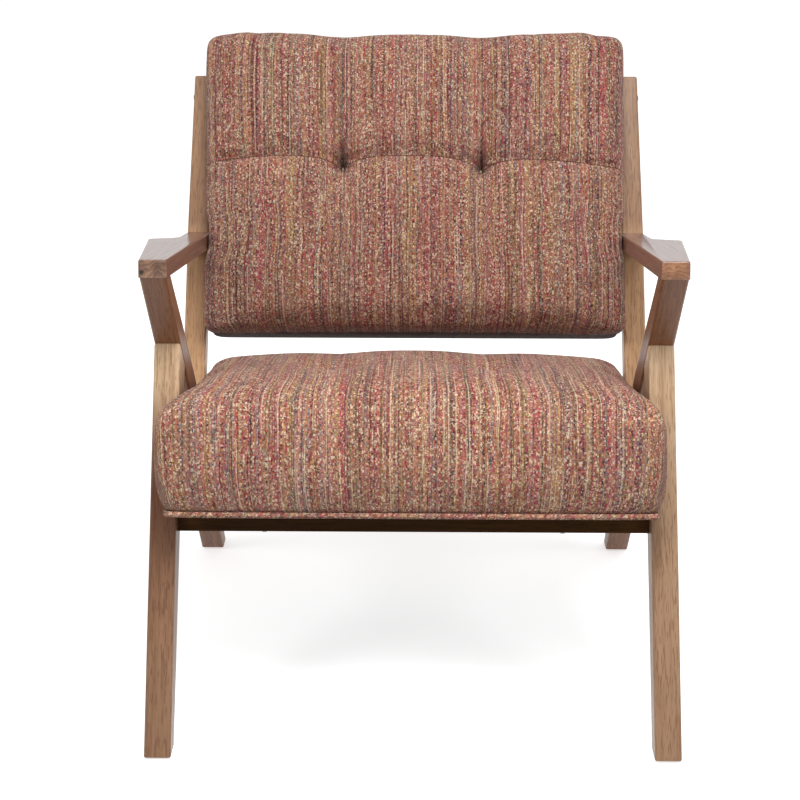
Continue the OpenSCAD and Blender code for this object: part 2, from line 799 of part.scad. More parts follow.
function back_front(u, v) =
  let (
    flat = back_plan(u, v, 1),
    shift = seam_shift(flat[0], flat[1]),
    p = [flat[0], flat[1] + shift * (1 - pow(abs(u), 8))],
    shoulder = sqrt((1 - pow(abs(u), 8)) * (1 - pow(abs(v), 7))),
    crown = (back_crown - back_edge) * shoulder * (1 - back_fall_x * u * u - back_fall_v * v * v),
    tufts = dent(p, [-tuft_x, tuft_v], tuft_r) + dent(p, [tuft_x, tuft_v], tuft_r),
    seam = exp(-pow(flat[1] - seam_v, 2) / (2 * seam_r * seam_r)) * ease(1, 0.9, abs(u))
  ) [p[0], -back_edge - crown + tuft_depth * tufts + seam_depth * seam * (1 - tufts), p[1]];

function back_side(u, v, s, y) = let (p = back_plan(u, v, s)) [p[0], y, p[1]];

back_face = [for (j = [0:back_nv], i = [0:back_nu]) back_front(spread(i, back_nu), back_v(j))];
function back_ring(s, y) =
  [for (e = edge_ring(back_nu, back_nv)) back_side(spread(e[0], back_nu), back_v(e[1]), s, y)];

back_in_x = back_x - back_wad;
back_in_edge = 7;
back_in_low = -back_low + back_in_edge;
back_in_high = back_high - back_in_edge;
back_foam_front = -28;
back_panel_y = back_rear - panel_t;
back_foam_rear = back_frame_y - 2 * strap_t;

module back_cover() {
  color(fabric) difference() {
    at_back() soft_skin(back_nu, back_nv, back_face,
      [back_ring(0.9, -back_edge * 0.5), back_ring(0, -2), back_ring(0, back_rear)],
      [0, back_rear, (back_high - back_low) / 2]);
    at_back() translate([-back_in_x, back_foam_front, back_in_low])
      cube([2 * back_in_x, back_rear - back_foam_front + 1, back_in_high - back_in_low]);
    for (side = [-1, 1]) on_side(side) bolt_shanks(2 * fit);
    for (side = [-1, 1]) on_side(side) pin_rods(2 * fit);
  }
}

back_stick_x = back_in_x - fit;
back_stick_low = back_in_low + fit;
back_stick_high = back_in_high - fit;
back_stick_d = back_panel_y - back_frame_y - fit;

module back_stick(x0, v0, w, h) {
  color(pine) difference() {
    at_back() translate([x0, back_frame_y, v0]) cube([w, back_stick_d, h]);
    nut_bodies(2 * fit);
    bolt_shanks(2 * fit);
    pin_rods(2 * fit);
  }
}

module back_frame_top() {
  back_stick(-back_stick_x + stick_w, back_stick_high - stick_w, 2 * (back_stick_x - stick_w), stick_w);
}

module back_frame_bottom() {
  back_stick(-back_stick_x + stick_w, back_stick_low, 2 * (back_stick_x - stick_w), stick_w);
}

module back_stile(side) {
  on_side(side) back_stick(back_stick_x - stick_w, back_stick_low, stick_w, back_stick_high - back_stick_low);
}

module back_straps_across() {
  w = back_stick_x - stick_w / 2;
  color(rubber_brown) at_back() for (v = spaced(straps_across, back_stick_low + stick_w, back_stick_high - stick_w))
    translate([-w, back_frame_y - strap_t, v - strap_w / 2]) cube([2 * w, strap_t, strap_w]);
}

module back_straps_up() {
  x = back_stick_x - stick_w;
  low = back_stick_low + stick_w / 2;
  high = back_stick_high - stick_w / 2;
  color(rubber_brown) at_back() for (c = spaced(straps_along, -x, x))
    translate([c - strap_w / 2, back_frame_y - 2 * strap_t, low]) cube([strap_w, strap_t, high - low]);
}

module back_foam() {
  color(foam_yellow) difference() {
    at_back() translate([-back_stick_x, back_foam_front + fit, back_stick_low])
      cube([2 * back_stick_x, back_foam_rear - back_foam_front - fit, back_stick_high - back_stick_low]);
    tie_rods(2 * fit, 2);
  }
}

module back_panel() {
  color(fabric) at_back() translate([-back_stick_x, back_panel_y, back_stick_low])
    cube([2 * back_stick_x, panel_t, back_stick_high - back_stick_low]);
}

// Two bolts near the post tops and two plain pins below hold the back.

bolt_v = post_rise - bolt_drop;
bolt_y = post_d / 2;
bolt_in = 34;
bolt_l = post_t + bolt_in;
head_h = 2.2;
pin_d = 8;
pin_rise = 40;
pin_v = -back_low + pin_rise;
pin_in = 40;
pin_out = 18;
bolt_outer_x = outer_x - post_taper * bolt_v / post_rise;

module bolt_shanks(play) {
  at_back() translate([bolt_outer_x - bolt_l, bolt_y, bolt_v]) rotate([0, 90, 0])
    cylinder(d = bolt_d + play, h = bolt_l + 2);
}

module pin_rods(play) {
  at_back() translate([post_inner_x - pin_in - play, bolt_y, pin_v]) rotate([0, 90, 0])
    cylinder(d = pin_d + play, h = pin_in + pin_out + 2 * play);
}

nut_d = 12;
nut_l = 16;
nut_x = back_in_x - 2 - nut_l;
module nut_bodies(play) {
  at_back() translate([nut_x - play / 2, bolt_y, bolt_v]) rotate([0, 90, 0])
    cylinder(d = nut_d + play, h = back_in_x - nut_x + play);
}

module back_bolts() {
  color(steel) for (side = [-1, 1]) on_side(side) at_back() translate([bolt_outer_x, bolt_y, bolt_v])
    rotate([0, 90, 0]) {
      translate([0, 0, -bolt_l + 1]) cylinder(d = bolt_d, h = bolt_l - 1);
      rotate_extrude() polygon([[0, 0], [bolt_head_d / 2, 0], [bolt_head_d / 2, head_h * 0.4],
        [bolt_head_d / 2 - 1.5, head_h * 0.9], [0, head_h]]);
    }
}

module back_nuts() {
  color(steel) for (side = [-1, 1]) on_side(side) difference() {
    at_back() translate([nut_x, bolt_y, bolt_v]) rotate([0, 90, 0]) cylinder(d = nut_d, h = nut_l);
    bolt_shanks(2 * fit);
  }
}

module back_pins() {
  color(steel) for (side = [-1, 1]) on_side(side) pin_rods(0);
}

module tuft_ties() {
  color("linen") tie_rods(0, 0);
}

front_leg(-1);  // front_leg_left
front_leg(1);  // front_leg_right
rear_leg(-1);  // rear_leg_left
rear_leg(1);  // rear_leg_right
back_post(-1);  // back_post_left
back_post(1);  // back_post_right
arm(-1);  // arm_left
arm(1);  // arm_right
rail(front_rail_y);  // front_rail
rail(rear_rail_y);  // rear_rail
frame_dowels();
rail_dowels();
seat_frame_front();
seat_frame_rear();
seat_frame_side(-1);  // seat_frame_side_left
seat_frame_side(1);  // seat_frame_side_right
seat_corner_blocks();
seat_straps_across();
seat_straps_along();
seat_foam_base();
seat_foam_crown();
seat_cover();
seat_welt();
seat_dust_cover();
seat_screws();
back_frame_top();
back_frame_bottom();
back_stile(-1);  // back_stile_left
back_stile(1);  // back_stile_right
back_straps_across();
back_straps_up();
back_foam();
back_cover();
back_panel();
back_bolts();
back_nuts();
back_pins();
tuft_ties();
foot_glides();
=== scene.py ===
"""Lounge chair with open wooden side frames, a tufted back and a crowned seat.

Sizes are written in millimetres, as in the chair's drawing, and scaled once, when
a surface becomes a mesh. +Z is up and the front of the chair faces -Y.
"""
import json
import math

import bpy
import numpy as np
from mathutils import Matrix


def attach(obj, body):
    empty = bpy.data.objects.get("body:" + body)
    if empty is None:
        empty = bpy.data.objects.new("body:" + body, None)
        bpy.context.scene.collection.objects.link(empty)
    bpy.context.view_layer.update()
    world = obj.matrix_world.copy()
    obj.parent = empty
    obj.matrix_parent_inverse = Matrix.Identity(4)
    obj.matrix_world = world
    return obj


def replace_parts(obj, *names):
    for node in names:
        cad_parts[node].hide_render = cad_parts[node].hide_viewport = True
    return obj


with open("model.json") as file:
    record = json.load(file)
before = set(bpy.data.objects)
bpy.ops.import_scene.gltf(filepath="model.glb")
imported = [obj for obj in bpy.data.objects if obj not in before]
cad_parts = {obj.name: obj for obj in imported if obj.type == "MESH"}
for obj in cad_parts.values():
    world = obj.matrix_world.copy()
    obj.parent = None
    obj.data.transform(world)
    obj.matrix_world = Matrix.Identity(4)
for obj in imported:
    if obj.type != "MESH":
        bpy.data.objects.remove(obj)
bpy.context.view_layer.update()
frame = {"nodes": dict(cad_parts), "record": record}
NODES = frame["nodes"]
scene = bpy.context.scene

# Sizes, mm
FRAME_W, LEG_T, FOOT_SPREAD = 665.0, 33.5, 600.0
LEG_LEAN, KNEE_H = math.radians(23.5), 474.0
LEG_FOOT_D, LEG_KNEE_D = 30.0, 51.0
REAR_FOOT_D, REAR_BELLY_D, REAR_BELLY_DROP = 26.0, 43.0, 160.0
REAR_KNEE_D, REAR_TOP_D, REAR_NECK_RISE = 34.0, 24.0, 120.0
ARM_H, ARM_SLOPE, ARM_T, ARM_L = 613.0, math.radians(10.85), 22.0, 440.0
ARM_NOSE, ARM_INNER, ARM_FLARE, ARM_FLARE_L = 4.0, 1.5, 38.0, 322.0
ARM_FLARE_BACK, ARM_CORNER_R, ARM_NECK_R, ARM_LOW_R = 24.0, 9.0, 18.0, 0.9
RECLINE, POST_RISE, POST_D, POST_T, POST_TAPER = math.radians(27), 238.0, 30.0, 31.5, 3.8
RAIL_H, RAIL_T, FRONT_RAIL_Y, REAR_RAIL_Y = 36.0, 24.0, 78.0, 389.0
SEAT_Y, SEAT_H, SEAT_SLOPE, SEAT_L = 60.0, 299.0, math.radians(11.3), 433.0
SEAT_FRONT_T, SEAT_REAR_T = 153.0, 138.0
WELT_D, EDGE_DRAW = 7.0, 7.8
BACK_LOW, BACK_HIGH = 152.0, 294.0
SEAM_V, TUFT_X = 100.0, 100.0
TUFTS = (-TUFT_X - 5, TUFT_X - 5)
GLIDE_H, BACK_REAR = 3.0, 31.0
# Rounding of long edges, of a post's ends and of an arm's top, the flat ring inside a
# rounded end, how far a bar's sections run past its cut ends, and a post's lowest ring
EDGE_R, POST_EASE, ARM_TOP_R, END_FLAT = 3.2, 2.6, 2.4, 0.8
OVERRUN, POST_LOWEST = 60, -255

OUTER_X = FRAME_W / 2
INNER_X = OUTER_X - LEG_T
POST_INNER_X = OUTER_X - POST_T
SEAT_X = INNER_X - 0.6
BACK_X = INNER_X - ARM_INNER - 0.6
KNEE_Y = KNEE_H * math.tan(LEG_LEAN)
REAR_LEAN = math.atan2(FOOT_SPREAD - KNEE_Y, KNEE_H)
REAR_LEN = math.hypot(FOOT_SPREAD - KNEE_Y, KNEE_H)
ARM_Y = (KNEE_Y + (KNEE_H - ARM_H + ARM_T * math.cos(ARM_SLOPE)) * math.tan(REAR_LEAN)
         - ARM_NOSE + ARM_T * math.sin(ARM_SLOPE))
POST_Y = ARM_Y + ARM_L
POST_Z = ARM_H - ARM_L * math.tan(ARM_SLOPE)
CENTRE_Y = (GLIDE_H * math.tan(LEG_LEAN)
            + POST_Y + BACK_HIGH * math.sin(RECLINE) + BACK_REAR * math.cos(RECLINE)) / 2


# Places
def placed(y, z, lean):
    """A piece's own axes leaned back by an angle about X, then moved to (0, y, z).

    Returns (to_chair, to_piece), two functions on arrays of points."""
    c, s = math.cos(lean), math.sin(lean)

    def to_chair(p):
        p = np.asarray(p, float)
        return np.stack([p[..., 0], y - CENTRE_Y + p[..., 1] * c + p[..., 2] * s,
                         z - p[..., 1] * s + p[..., 2] * c], -1)

    def to_piece(p):
        p = np.asarray(p, float)
        dy, dz = p[..., 1] - (y - CENTRE_Y), p[..., 2] - z
        return np.stack([p[..., 0], dy * c - dz * s, dy * s + dz * c], -1)

    return to_chair, to_piece


AT_FRONT_LEG = placed(0, 0, LEG_LEAN)
AT_REAR_LEG = placed(KNEE_Y, KNEE_H, -REAR_LEAN)
AT_ARM = placed(ARM_Y, ARM_H, ARM_SLOPE)
AT_BACK = placed(POST_Y, POST_Z, RECLINE)
AT_SEAT = placed(SEAT_Y, SEAT_H, SEAT_SLOPE)


def plane_in(place, of, point, normal):
    """A plane given on the axes of one place, as (point, unit normal) on another's."""
    a = place[1](of[0](np.array(point, float)))
    b = place[1](of[0](np.array(point, float) + np.array(normal, float)))
    return a, b - a


# Meshes
def new_piece(name, points, faces, material, smooth=35, weave=None):
    """Points in mm and faces become a mesh in metres that rides on the chair.

    faces is a list of integer arrays, one row a face. weave is one (s, t) per face
    corner, in metres, in the order of the faces."""
    sizes = np.concatenate([np.full(len(f), f.shape[1]) for f in faces])
    corners = np.concatenate([f.ravel() for f in faces]).astype(np.int32)
    mesh = bpy.data.meshes.new(name)
    mesh.vertices.add(len(points))
    mesh.vertices.foreach_set("co", (np.asarray(points, float) * 0.001).ravel())
    mesh.loops.add(len(corners))
    mesh.loops.foreach_set("vertex_index", corners)
    mesh.polygons.add(len(sizes))
    starts = np.concatenate([[0], np.cumsum(sizes)[:-1]]).astype(np.int32)
    mesh.polygons.foreach_set("loop_start", starts)
    mesh.update(calc_edges=True)
    mesh.validate()
    if weave is not None:
        layer = mesh.uv_layers.new(name="weave")
        layer.data.foreach_set("uv", np.asarray(weave, np.float32).ravel())
    mesh.shade_smooth()
    mesh.set_sharp_from_angle(angle=math.radians(smooth))
    mesh.materials.append(material)
    piece = bpy.data.objects.new(name, mesh)
    scene.collection.objects.link(piece)
    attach(piece, "root")
    return piece


def strip_faces(rings, n, closed=True):
    """Quads between rings of n points that follow each other."""
    k, i = np.meshgrid(np.arange(rings - 1), np.arange(n if closed else n - 1), indexing="ij")
    j = (i + 1) % n
    return np.stack([k * n + i, k * n + j, (k + 1) * n + j, (k + 1) * n + i], -1).reshape(-1, 4)


def volume_sign(points, faces):
    """The sign of the volume inside the faces, by fans from their first corners."""
    total = 0.0
    for f in faces:
        for k in range(1, f.shape[1] - 1):
            a, b, c = points[f[:, 0]], points[f[:, k]], points[f[:, k + 1]]
            total += np.einsum("ij,ij->", a, np.cross(b, c))
    return math.copysign(1, total)


def outward(points, faces):
    """The same faces, turned round if they point inwards."""
    return faces if volume_sign(points, faces) > 0 else [f[:, ::-1] for f in faces]


def ringed_piece(name, place, rings, side, material, node):
    """A closed piece made of rings that follow each other, with a cap on each end, on
    one side of the chair and in the place of a CAD node."""
    count, n = rings.shape[:2]
    points = place[0](rings.reshape(-1, 3)) * [side, 1, 1]
    cap = np.arange(n)
    faces = [strip_faces(count, n), cap[None, ::-1], (cap + (count - 1) * n)[None, :]]
    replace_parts(new_piece(name, points, outward(points, faces), material), node)


# Wooden pieces
ARC, ARC_FLAT = np.radians(np.linspace(0, 90, 9)), 0.7


def corner_ring(x0, x1, y0, y1, r, inset):
    """A rectangle with rounded corners, drawn in by inset. Each corner is an arc with
    one more point before and after it, so that the flats between stay flat."""
    r = max(r - inset, 0.3)
    x0, x1, y0, y1 = x0 + inset, x1 - inset, y0 + inset, y1 - inset
    corners = [(x1 - r, y1 - r), (x0 + r, y1 - r), (x0 + r, y0 + r), (x1 - r, y0 + r)]
    out = []
    for turn, (cx, cy) in enumerate(corners):
        a = ARC + turn * math.pi / 2
        arc = np.stack([cx + r * np.cos(a), cy + r * np.sin(a)], -1)
        first, last = arc[0].copy(), arc[-1].copy()
        first += ARC_FLAT * np.array([math.sin(a[0]), -math.cos(a[0])])
        last += ARC_FLAT * np.array([-math.sin(a[-1]), math.cos(a[-1])])
        out.append(np.vstack([first, arc, last]))
    return np.vstack(out)


def section_ring(sections, z, inset):
    """The ring of a bar at height z. Its section is interpolated between
    (height, front, rear, inner x, outer x) rows."""
    h = [s[0] for s in sections]
    y0, y1, x0, x1 = (np.interp(z, h, [s[k] for s in sections]) for k in (1, 2, 3, 4))
    ring = corner_ring(x0, x1, y0, y1, EDGE_R, inset)
    return np.column_stack([ring, np.full(len(ring), z)])


def end_ring(sections, inset, plane, offset, top):
    """The ring where a bar's long lines meet a plane that is moved inwards by offset."""
    point, normal = plane
    low, high = sections[0][0], sections[-1][0]
    za, zb = (high - 1.0, high) if top else (low, low + 1.0)
    a, b = section_ring(sections, za, inset), section_ring(sections, zb, inset)
    normal = normal if (normal[2] > 0) == top else -normal
    d = b - a
    t = ((point - a) @ normal - offset) / (d @ normal)
    return a + d * t[:, None]


def bar(name, place, sections, heights, low, high, finish, node, side, ease=1.0):
    """A bar with rounded long edges, on one side of the chair: an eased end on the low
    plane, rings at the heights, an eased end on the high plane. Easing follows a
    quarter circle of radius ease."""
    steps = [(ease + END_FLAT, 0)]
    for f in np.radians(np.linspace(90, 0, 5)):
        steps.append((ease * (1 - math.cos(f)), ease * (1 - math.sin(f))))
    steps.append((0, ease + END_FLAT))
    first = [end_ring(sections, inset, low, offset, False) for inset, offset in steps]
    last = [end_ring(sections, inset, high, offset, True) for inset, offset in steps]
    rings = np.array(first + [section_ring(sections, z, 0) for z in heights] + last[::-1])
    ringed_piece(name, place, rings, side, finish.material, node)


# Materials
def linear(r, g, b):
    """An sRGB colour, 0 to 255, as linear RGBA."""
    c = np.array([r, g, b]) / 255
    c = np.where(c <= 0.04045, c / 12.92, ((c + 0.055) / 1.055) ** 2.4)
    return (*map(float, c), 1.0)


class Finish:
    """A material and short words for its nodes."""

    def __init__(self, name):
        self.material = bpy.data.materials.new(name)
        self.material.use_nodes = True
        self.tree = self.material.node_tree
        self.shader = self.tree.nodes["Principled BSDF"]

    def put(self, socket, value):
        if isinstance(value, bpy.types.NodeSocket):
            self.tree.links.new(value, socket)
        else:
            socket.default_value = value

    def node(self, kind, out=0, settings=(), **inputs):
        made = self.tree.nodes.new(kind)
        for key, value in dict(settings).items():
            setattr(made, key, value)
        for key, value in inputs.items():
            self.put(made.inputs[key.replace("_", " ")], value)
        return made.outputs[out]

    def math(self, op, a, b=0.0):
        made = self.tree.nodes.new("ShaderNodeMath")
        made.operation = op
        self.put(made.inputs[0], a)
        self.put(made.inputs[1], b)
        return made.outputs[0]

    def plus(self, a, b):
        return self.math("ADD", a, b)

    def minus(self, a, b):
        return self.math("SUBTRACT", a, b)

    def times(self, a, b):
        return self.math("MULTIPLY", a, b)

    def away(self, a, b):
        return self.math("ABSOLUTE", self.minus(a, b))

    def mix(self, share, a, b, how="MIX"):
        made = self.tree.nodes.new("ShaderNodeMix")
        made.data_type, made.blend_type = "RGBA", how
        self.put(made.inputs[0], share)
        self.put(made.inputs[6], a)
        self.put(made.inputs[7], b)
        return made.outputs[2]

    def ramp(self, value, stops, how="LINEAR"):
        made = self.tree.nodes.new("ShaderNodeValToRGB")
        made.color_ramp.interpolation = how
        spare = made.color_ramp.elements
        while len(spare) < len(stops):
            spare.new(0.5)
        for element, (place, colour) in zip(spare, stops):
            element.position = place
            element.color = colour if isinstance(colour, tuple) else (colour, colour, colour, 1)
        self.put(made.inputs[0], value)
        return made.outputs[0]

    def noise(self, vector, scale=1.0, detail=2.0, rough=0.5, distortion=0.0):
        return self.node("ShaderNodeTexNoise", Vector=vector, Scale=scale, Detail=detail,
                         Roughness=rough, Distortion=distortion)

    def place(self):
        """The piece's own coordinates, in metres."""
        return self.node("ShaderNodeTexCoord", 3)

    def axis(self, vector, k):
        return self.node("ShaderNodeSeparateXYZ", k, Vector=vector)

    def mapped(self, vector, scale=(1, 1, 1), turn=(0, 0, 0), move=(0, 0, 0)):
        return self.node("ShaderNodeMapping", Vector=vector, Scale=scale, Rotation=turn,
                         Location=move)

    def set(self, **values):
        for key, value in values.items():
            self.put(self.shader.inputs[key.replace("_", " ")], value)
        return self

    def bump(self, height, distance, strength=1.0):
        self.put(self.shader.inputs["Normal"],
                 self.node("ShaderNodeBump", Height=height, Distance=distance, Strength=strength))
        return self


def wood(name, lean=0.0, along="z", light=(190, 154, 117), mid=(160, 122, 88), dark=(116, 79, 53),
         seed=0.0, gloss=0.36, coat=0.12, spec=0.36, painted_shade=(), shade_tint=(142, 102, 82), relief=0.5):
    """Satin walnut. The grain runs along an axis that is leaned back by an angle: soft
    growth bands, short dark pores and a slow change of tone from end to end. Painted
    shade can be laid over it by height: (height in metres, share) pairs give how much
    of a darker tint is multiplied in there, in place of light and shade on the piece."""
    f = Finish(name)
    place = f.place()
    upright = f.mapped(place, turn=(lean, 0, 0), move=(seed, seed * 0.7, seed * 1.3))
    if along == "x":
        upright = f.mapped(upright, turn=(0, math.pi / 2, 0))
    if along == "y":
        upright = f.mapped(upright, turn=(math.pi / 2, 0, 0))
    wave = f.noise(f.mapped(upright, scale=(26, 26, 2.2)), detail=3, rough=0.55, distortion=0.6)
    streaks = f.noise(f.mapped(upright, scale=(260, 260, 9)), detail=3, rough=0.6)
    pores = f.noise(f.mapped(upright, scale=(640, 640, 52)), detail=1.5, rough=0.6)
    tone = f.noise(upright, scale=5.0, detail=2)
    grain = f.plus(f.times(wave, 0.55), f.times(streaks, 0.45))
    colour = f.ramp(grain, [(0.30, linear(*dark)), (0.50, linear(*mid)), (0.72, linear(*light))])
    pore = f.ramp(pores, [(0.38, 0.0), (0.46, 1.0)])
    colour = f.mix(0.7, colour, f.mix(pore, linear(*dark), colour))
    drift = f.ramp(tone, [(0.35, 0.0), (0.7, 0.35)])
    colour = f.mix(drift, colour, linear(*[c * 0.86 for c in mid]))
    # Painted shade: a darker tint multiplied in by height, standing in for light and shade.
    if painted_shade:
        colour = f.mix(f.ramp(f.axis(place, 2), list(painted_shade)), colour, linear(*shade_tint), "MULTIPLY")
    rough = f.ramp(streaks, [(0.3, gloss + 0.1), (0.7, gloss)])
    f.set(Base_Color=colour, Roughness=rough, Coat_Weight=coat, Coat_Roughness=0.22,
          Specular_IOR_Level=spec)
    f.bump(f.plus(f.times(pore, 0.6), streaks), 0.00012, relief)
    f.colour = colour
    return f


# The knot's colour, how close the growth rings lie, in radians a metre, and how deep
# the face across the grain is
KNOT, RINGS, FACE_DEPTH = (40, 34, 26), 1100, 0.0014


def end_grain(f, place, lean, heart, knot, tan, mid, dark):
    """Adds end grain to a finish, on the face across the piece's own Y axis: growth
    rings about a heart, and a dark knot if there is one. Places are (x, z) in metres
    on the piece's own axes."""
    own = f.mapped(f.place(), turn=(lean, 0, 0), move=tuple(place[1](np.zeros(3)) * 0.001))
    x, along, z = (f.axis(own, k) for k in (0, 1, 2))
    flat = f.node("ShaderNodeCombineXYZ", X=x, Y=z)
    sway = f.noise(flat, scale=70, detail=2)

    def far(spot):
        dx, dz = f.minus(x, spot[0]), f.minus(z, spot[1])
        return f.math("SQRT", f.plus(f.times(dx, dx), f.times(dz, dz)))

    ring = f.math("SINE", f.times(f.plus(far(heart), f.times(sway, 0.022)), RINGS))
    fleck = f.noise(flat, scale=900, detail=2)
    level = f.plus(f.times(ring, 0.05), f.times(f.plus(sway, fleck), 0.5))
    cut = f.ramp(level, [(0.30, linear(*dark)), (0.50, linear(*mid)), (0.70, linear(*tan))])
    if knot:
        spot = f.times(f.plus(far(knot), f.times(sway, 0.003)), 100)
        cut = f.mix(f.ramp(spot, [(0.30, 1.0), (0.62, 0.0)]), cut, linear(*KNOT))
    f.set(Base_Color=f.mix(f.math("LESS_THAN", along, FACE_DEPTH), f.colour, cut))


# Yarns of the tweed: width and length of a piece, in metres, and a shift between draws
CURL, FLECK = (0.0021, 0.0027, 77.0), (0.0012, 0.0017, 31.0)
STRIPE, THREAD = (0.0030, 0.400, 0.0), (0.0013, 0.120, 11.0)
YARNS = {
    "rose": (176, 78, 88), "brick": (148, 66, 70), "blush": (196, 136, 132),
    "tan": (166, 124, 96), "gold": (192, 156, 104), "cream": (238, 224, 200),
    "olive": (132, 116, 86), "grey": (138, 128, 134), "plum": (96, 56, 72), "dark": (30, 18, 20),
}
# How far apart two columns of yarn are drawn, a stitch's length in metres, and the
# colours of a seam, of the painted shade in a deep fold and of the painted shade under an edge
COLUMN_STEP, STITCH = 7.31, 0.0055
SEAM_TONE, FOLD_SHADE_TONE, SHADE_TONE = (60, 30, 26), (20, 9, 9), (58, 24, 15)


def tweed(name, seams=(), shade=(244, 236, 226), fold_shades=(), under=None):
    """Heathered tweed. Short curls and flecks of many yarn colours lie in columns over
    long stripes and threads, with fine grooves between the yarns, and the colour is
    darkened where this relief is low: painted shade in the weave's hollows. The cloth's own
    lengths, in metres, are read from the weave map. seams are lengths at which a dark
    row of stitches crosses the cloth. shade tones all its yarns down, and on the back
    it is painted shade. The deep folds, given as (s, from t, to t), are painted dark
    with shade, and past the length under the cloth lies in painted shade."""
    f = Finish(name)
    cloth = f.node("ShaderNodeUVMap", settings={"uv_map": "weave"})
    sway = f.noise(f.mapped(cloth, scale=(40, 12, 1)), detail=1)
    s, t = f.axis(cloth, 0), f.axis(cloth, 1)
    swayed = f.plus(s, f.times(f.minus(sway, 0.5), 0.004))
    laid = f.node("ShaderNodeCombineXYZ", X=swayed, Y=t)

    def yarns(size, names, share, columns=True):
        """Pieces of yarn of random colour, side by side in columns of one width or
        free, and a mask that keeps a share of them."""
        width, length, shift = size
        across = f.math("SNAP", swayed, width) if columns else swayed
        cell = f.node("ShaderNodeCombineXYZ", Y=f.plus(f.math("DIVIDE", t, length), shift),
                      X=f.times(across, (COLUMN_STEP if columns else 1) / width))
        drawn = f.node("ShaderNodeTexVoronoi", 1, settings={"voronoi_dimensions": "2D"},
                       Scale=1.0, Randomness=1.0, Vector=cell)
        colours = [linear(*YARNS[key]) for key in names.split()]
        stops = [(k / len(colours), c) for k, c in enumerate(colours)]
        red, green = (f.node("ShaderNodeSeparateColor", k, Color=drawn) for k in (0, 1))
        return f.ramp(red, stops, "CONSTANT"), f.math("LESS_THAN", green, share)

    curls, curled = yarns(
        CURL, "tan rose cream olive blush dark gold rose grey tan plum cream brick", 0.9)
    stripe, tinted = yarns(
        STRIPE, "rose tan grey brick olive blush tan rose plum gold", 0.85, False)
    thread, threaded = yarns(THREAD, "dark plum cream brick grey gold", 0.2)
    fleck, flecked = yarns(FLECK, "rose cream dark tan gold grey", 0.4)
    colour = f.mix(f.times(curled, 0.80), stripe, curls)
    colour = f.mix(f.times(flecked, 0.72), colour, fleck)
    colour = f.mix(f.times(tinted, 0.2), colour, stripe)
    colour = f.mix(f.times(threaded, 0.4), colour, thread)
    rib = f.noise(f.mapped(laid, scale=(560, 420, 1)), detail=2, rough=0.6)
    groove = f.noise(f.mapped(laid, scale=(430, 3, 1)), detail=1)
    fine = f.noise(f.mapped(cloth, scale=(900, 700, 1)), detail=1)
    dark = linear(*YARNS["dark"])
    # Painted shade: the cloth is darkened where the rib and groove relief is low.
    colour = f.mix(f.ramp(rib, [(0.34, 0.5), (0.50, 0.0)]), colour, dark)
    colour = f.mix(f.ramp(groove, [(0.36, 0.5), (0.42, 0.0)]), colour, dark)
    height = f.plus(f.plus(rib, f.times(fine, 0.4)), f.times(groove, 0.6))
    for at in seams:
        stitch = f.times(f.plus(f.math("SINE", f.times(s, 2 * math.pi / STITCH)), 1.0), 0.25)
        line = f.ramp(f.times(f.away(t, at), 400), [(0.22, 0.95), (0.48, 0.0)])
        colour = f.mix(f.times(line, f.plus(stitch, 0.45)), colour, linear(*SEAM_TONE))
    # Painted shade in each deep fold.
    for at, low, high in fold_shades:
        near = f.ramp(f.times(f.away(s, at), 100), [(0.06, 1.0), (0.16, 0.0)])
        along = f.math("DIVIDE", f.minus(t, low), high - low)
        deep = f.ramp(along, [(0.0, 0.0), (0.04, 0.95), (0.4, 0.8), (1.0, 0.0)])
        colour = f.mix(f.times(near, deep), colour, linear(*FOLD_SHADE_TONE))
    if under is not None:
        past = f.ramp(f.times(f.minus(under, t), 100), [(0.0, 0.0), (0.35, 0.9)])
        colour = f.mix(past, colour, linear(*SHADE_TONE))
    colour = f.mix(1.0, colour, linear(*shade), "MULTIPLY")
    f.set(Base_Color=colour, Roughness=0.92, Specular_IOR_Level=0.25, Sheen_Weight=0.10,
          Sheen_Roughness=0.5)
    return f.bump(height, 0.0011, 0.9).material


def plain(name, colour, rough, metal=0.0, scale=300.0, depth=0.0001, vary=0.12):
    """A small part's finish: one colour with fine mottling and relief."""
    f = Finish(name)
    grain = f.noise(f.place(), scale=scale, detail=3)
    base = linear(*colour)[:3]
    dark = tuple(c * (1 - vary) for c in base) + (1.0,)
    pale = tuple(min(1.0, c * (1 + vary)) for c in base) + (1.0,)
    dull, bright = min(1.0, rough + 0.08), max(0.05, rough - 0.08)
    f.set(Base_Color=f.ramp(grain, [(0.3, dark), (0.7, pale)]), Metallic=metal,
          Roughness=f.ramp(grain, [(0.3, dull), (0.7, bright)]))
    return f.bump(grain, depth, 0.6).material


# Side frames
UP, BACK = (0, 0, 1), (0, 1, 0)
# The wood's light, middle and dark tones and its gloss, piece by piece
# The front legs' pale tones are a painted highlight wherever the painted shade leaves them.
FRONT_LEG = dict(light=(232, 202, 166), mid=(208, 177, 142), dark=(148, 110, 76))
REAR_LEG = dict(light=(172, 124, 88), mid=(142, 96, 66), dark=(102, 64, 42), coat=0.04, spec=0.24)
# A post's pale tones below the arm are painted light where the arm shades it; above the arm a grey
# tint darkens it.
POST = dict(light=(226, 182, 138), mid=(198, 154, 112), dark=(146, 102, 68),
            painted_shade=((0.505, 0.0), (0.545, 1.0)), shade_tint=(188, 179, 173))
ARM = dict(light=(134, 88, 66), mid=(116, 74, 55), dark=(98, 62, 46), gloss=0.3, coat=0.9,
           spec=0.15, relief=0.05)
RAIL = dict(light=(88, 58, 28), mid=(70, 44, 19), dark=(50, 29, 13), gloss=0.6, coat=0.0, spec=0.06)
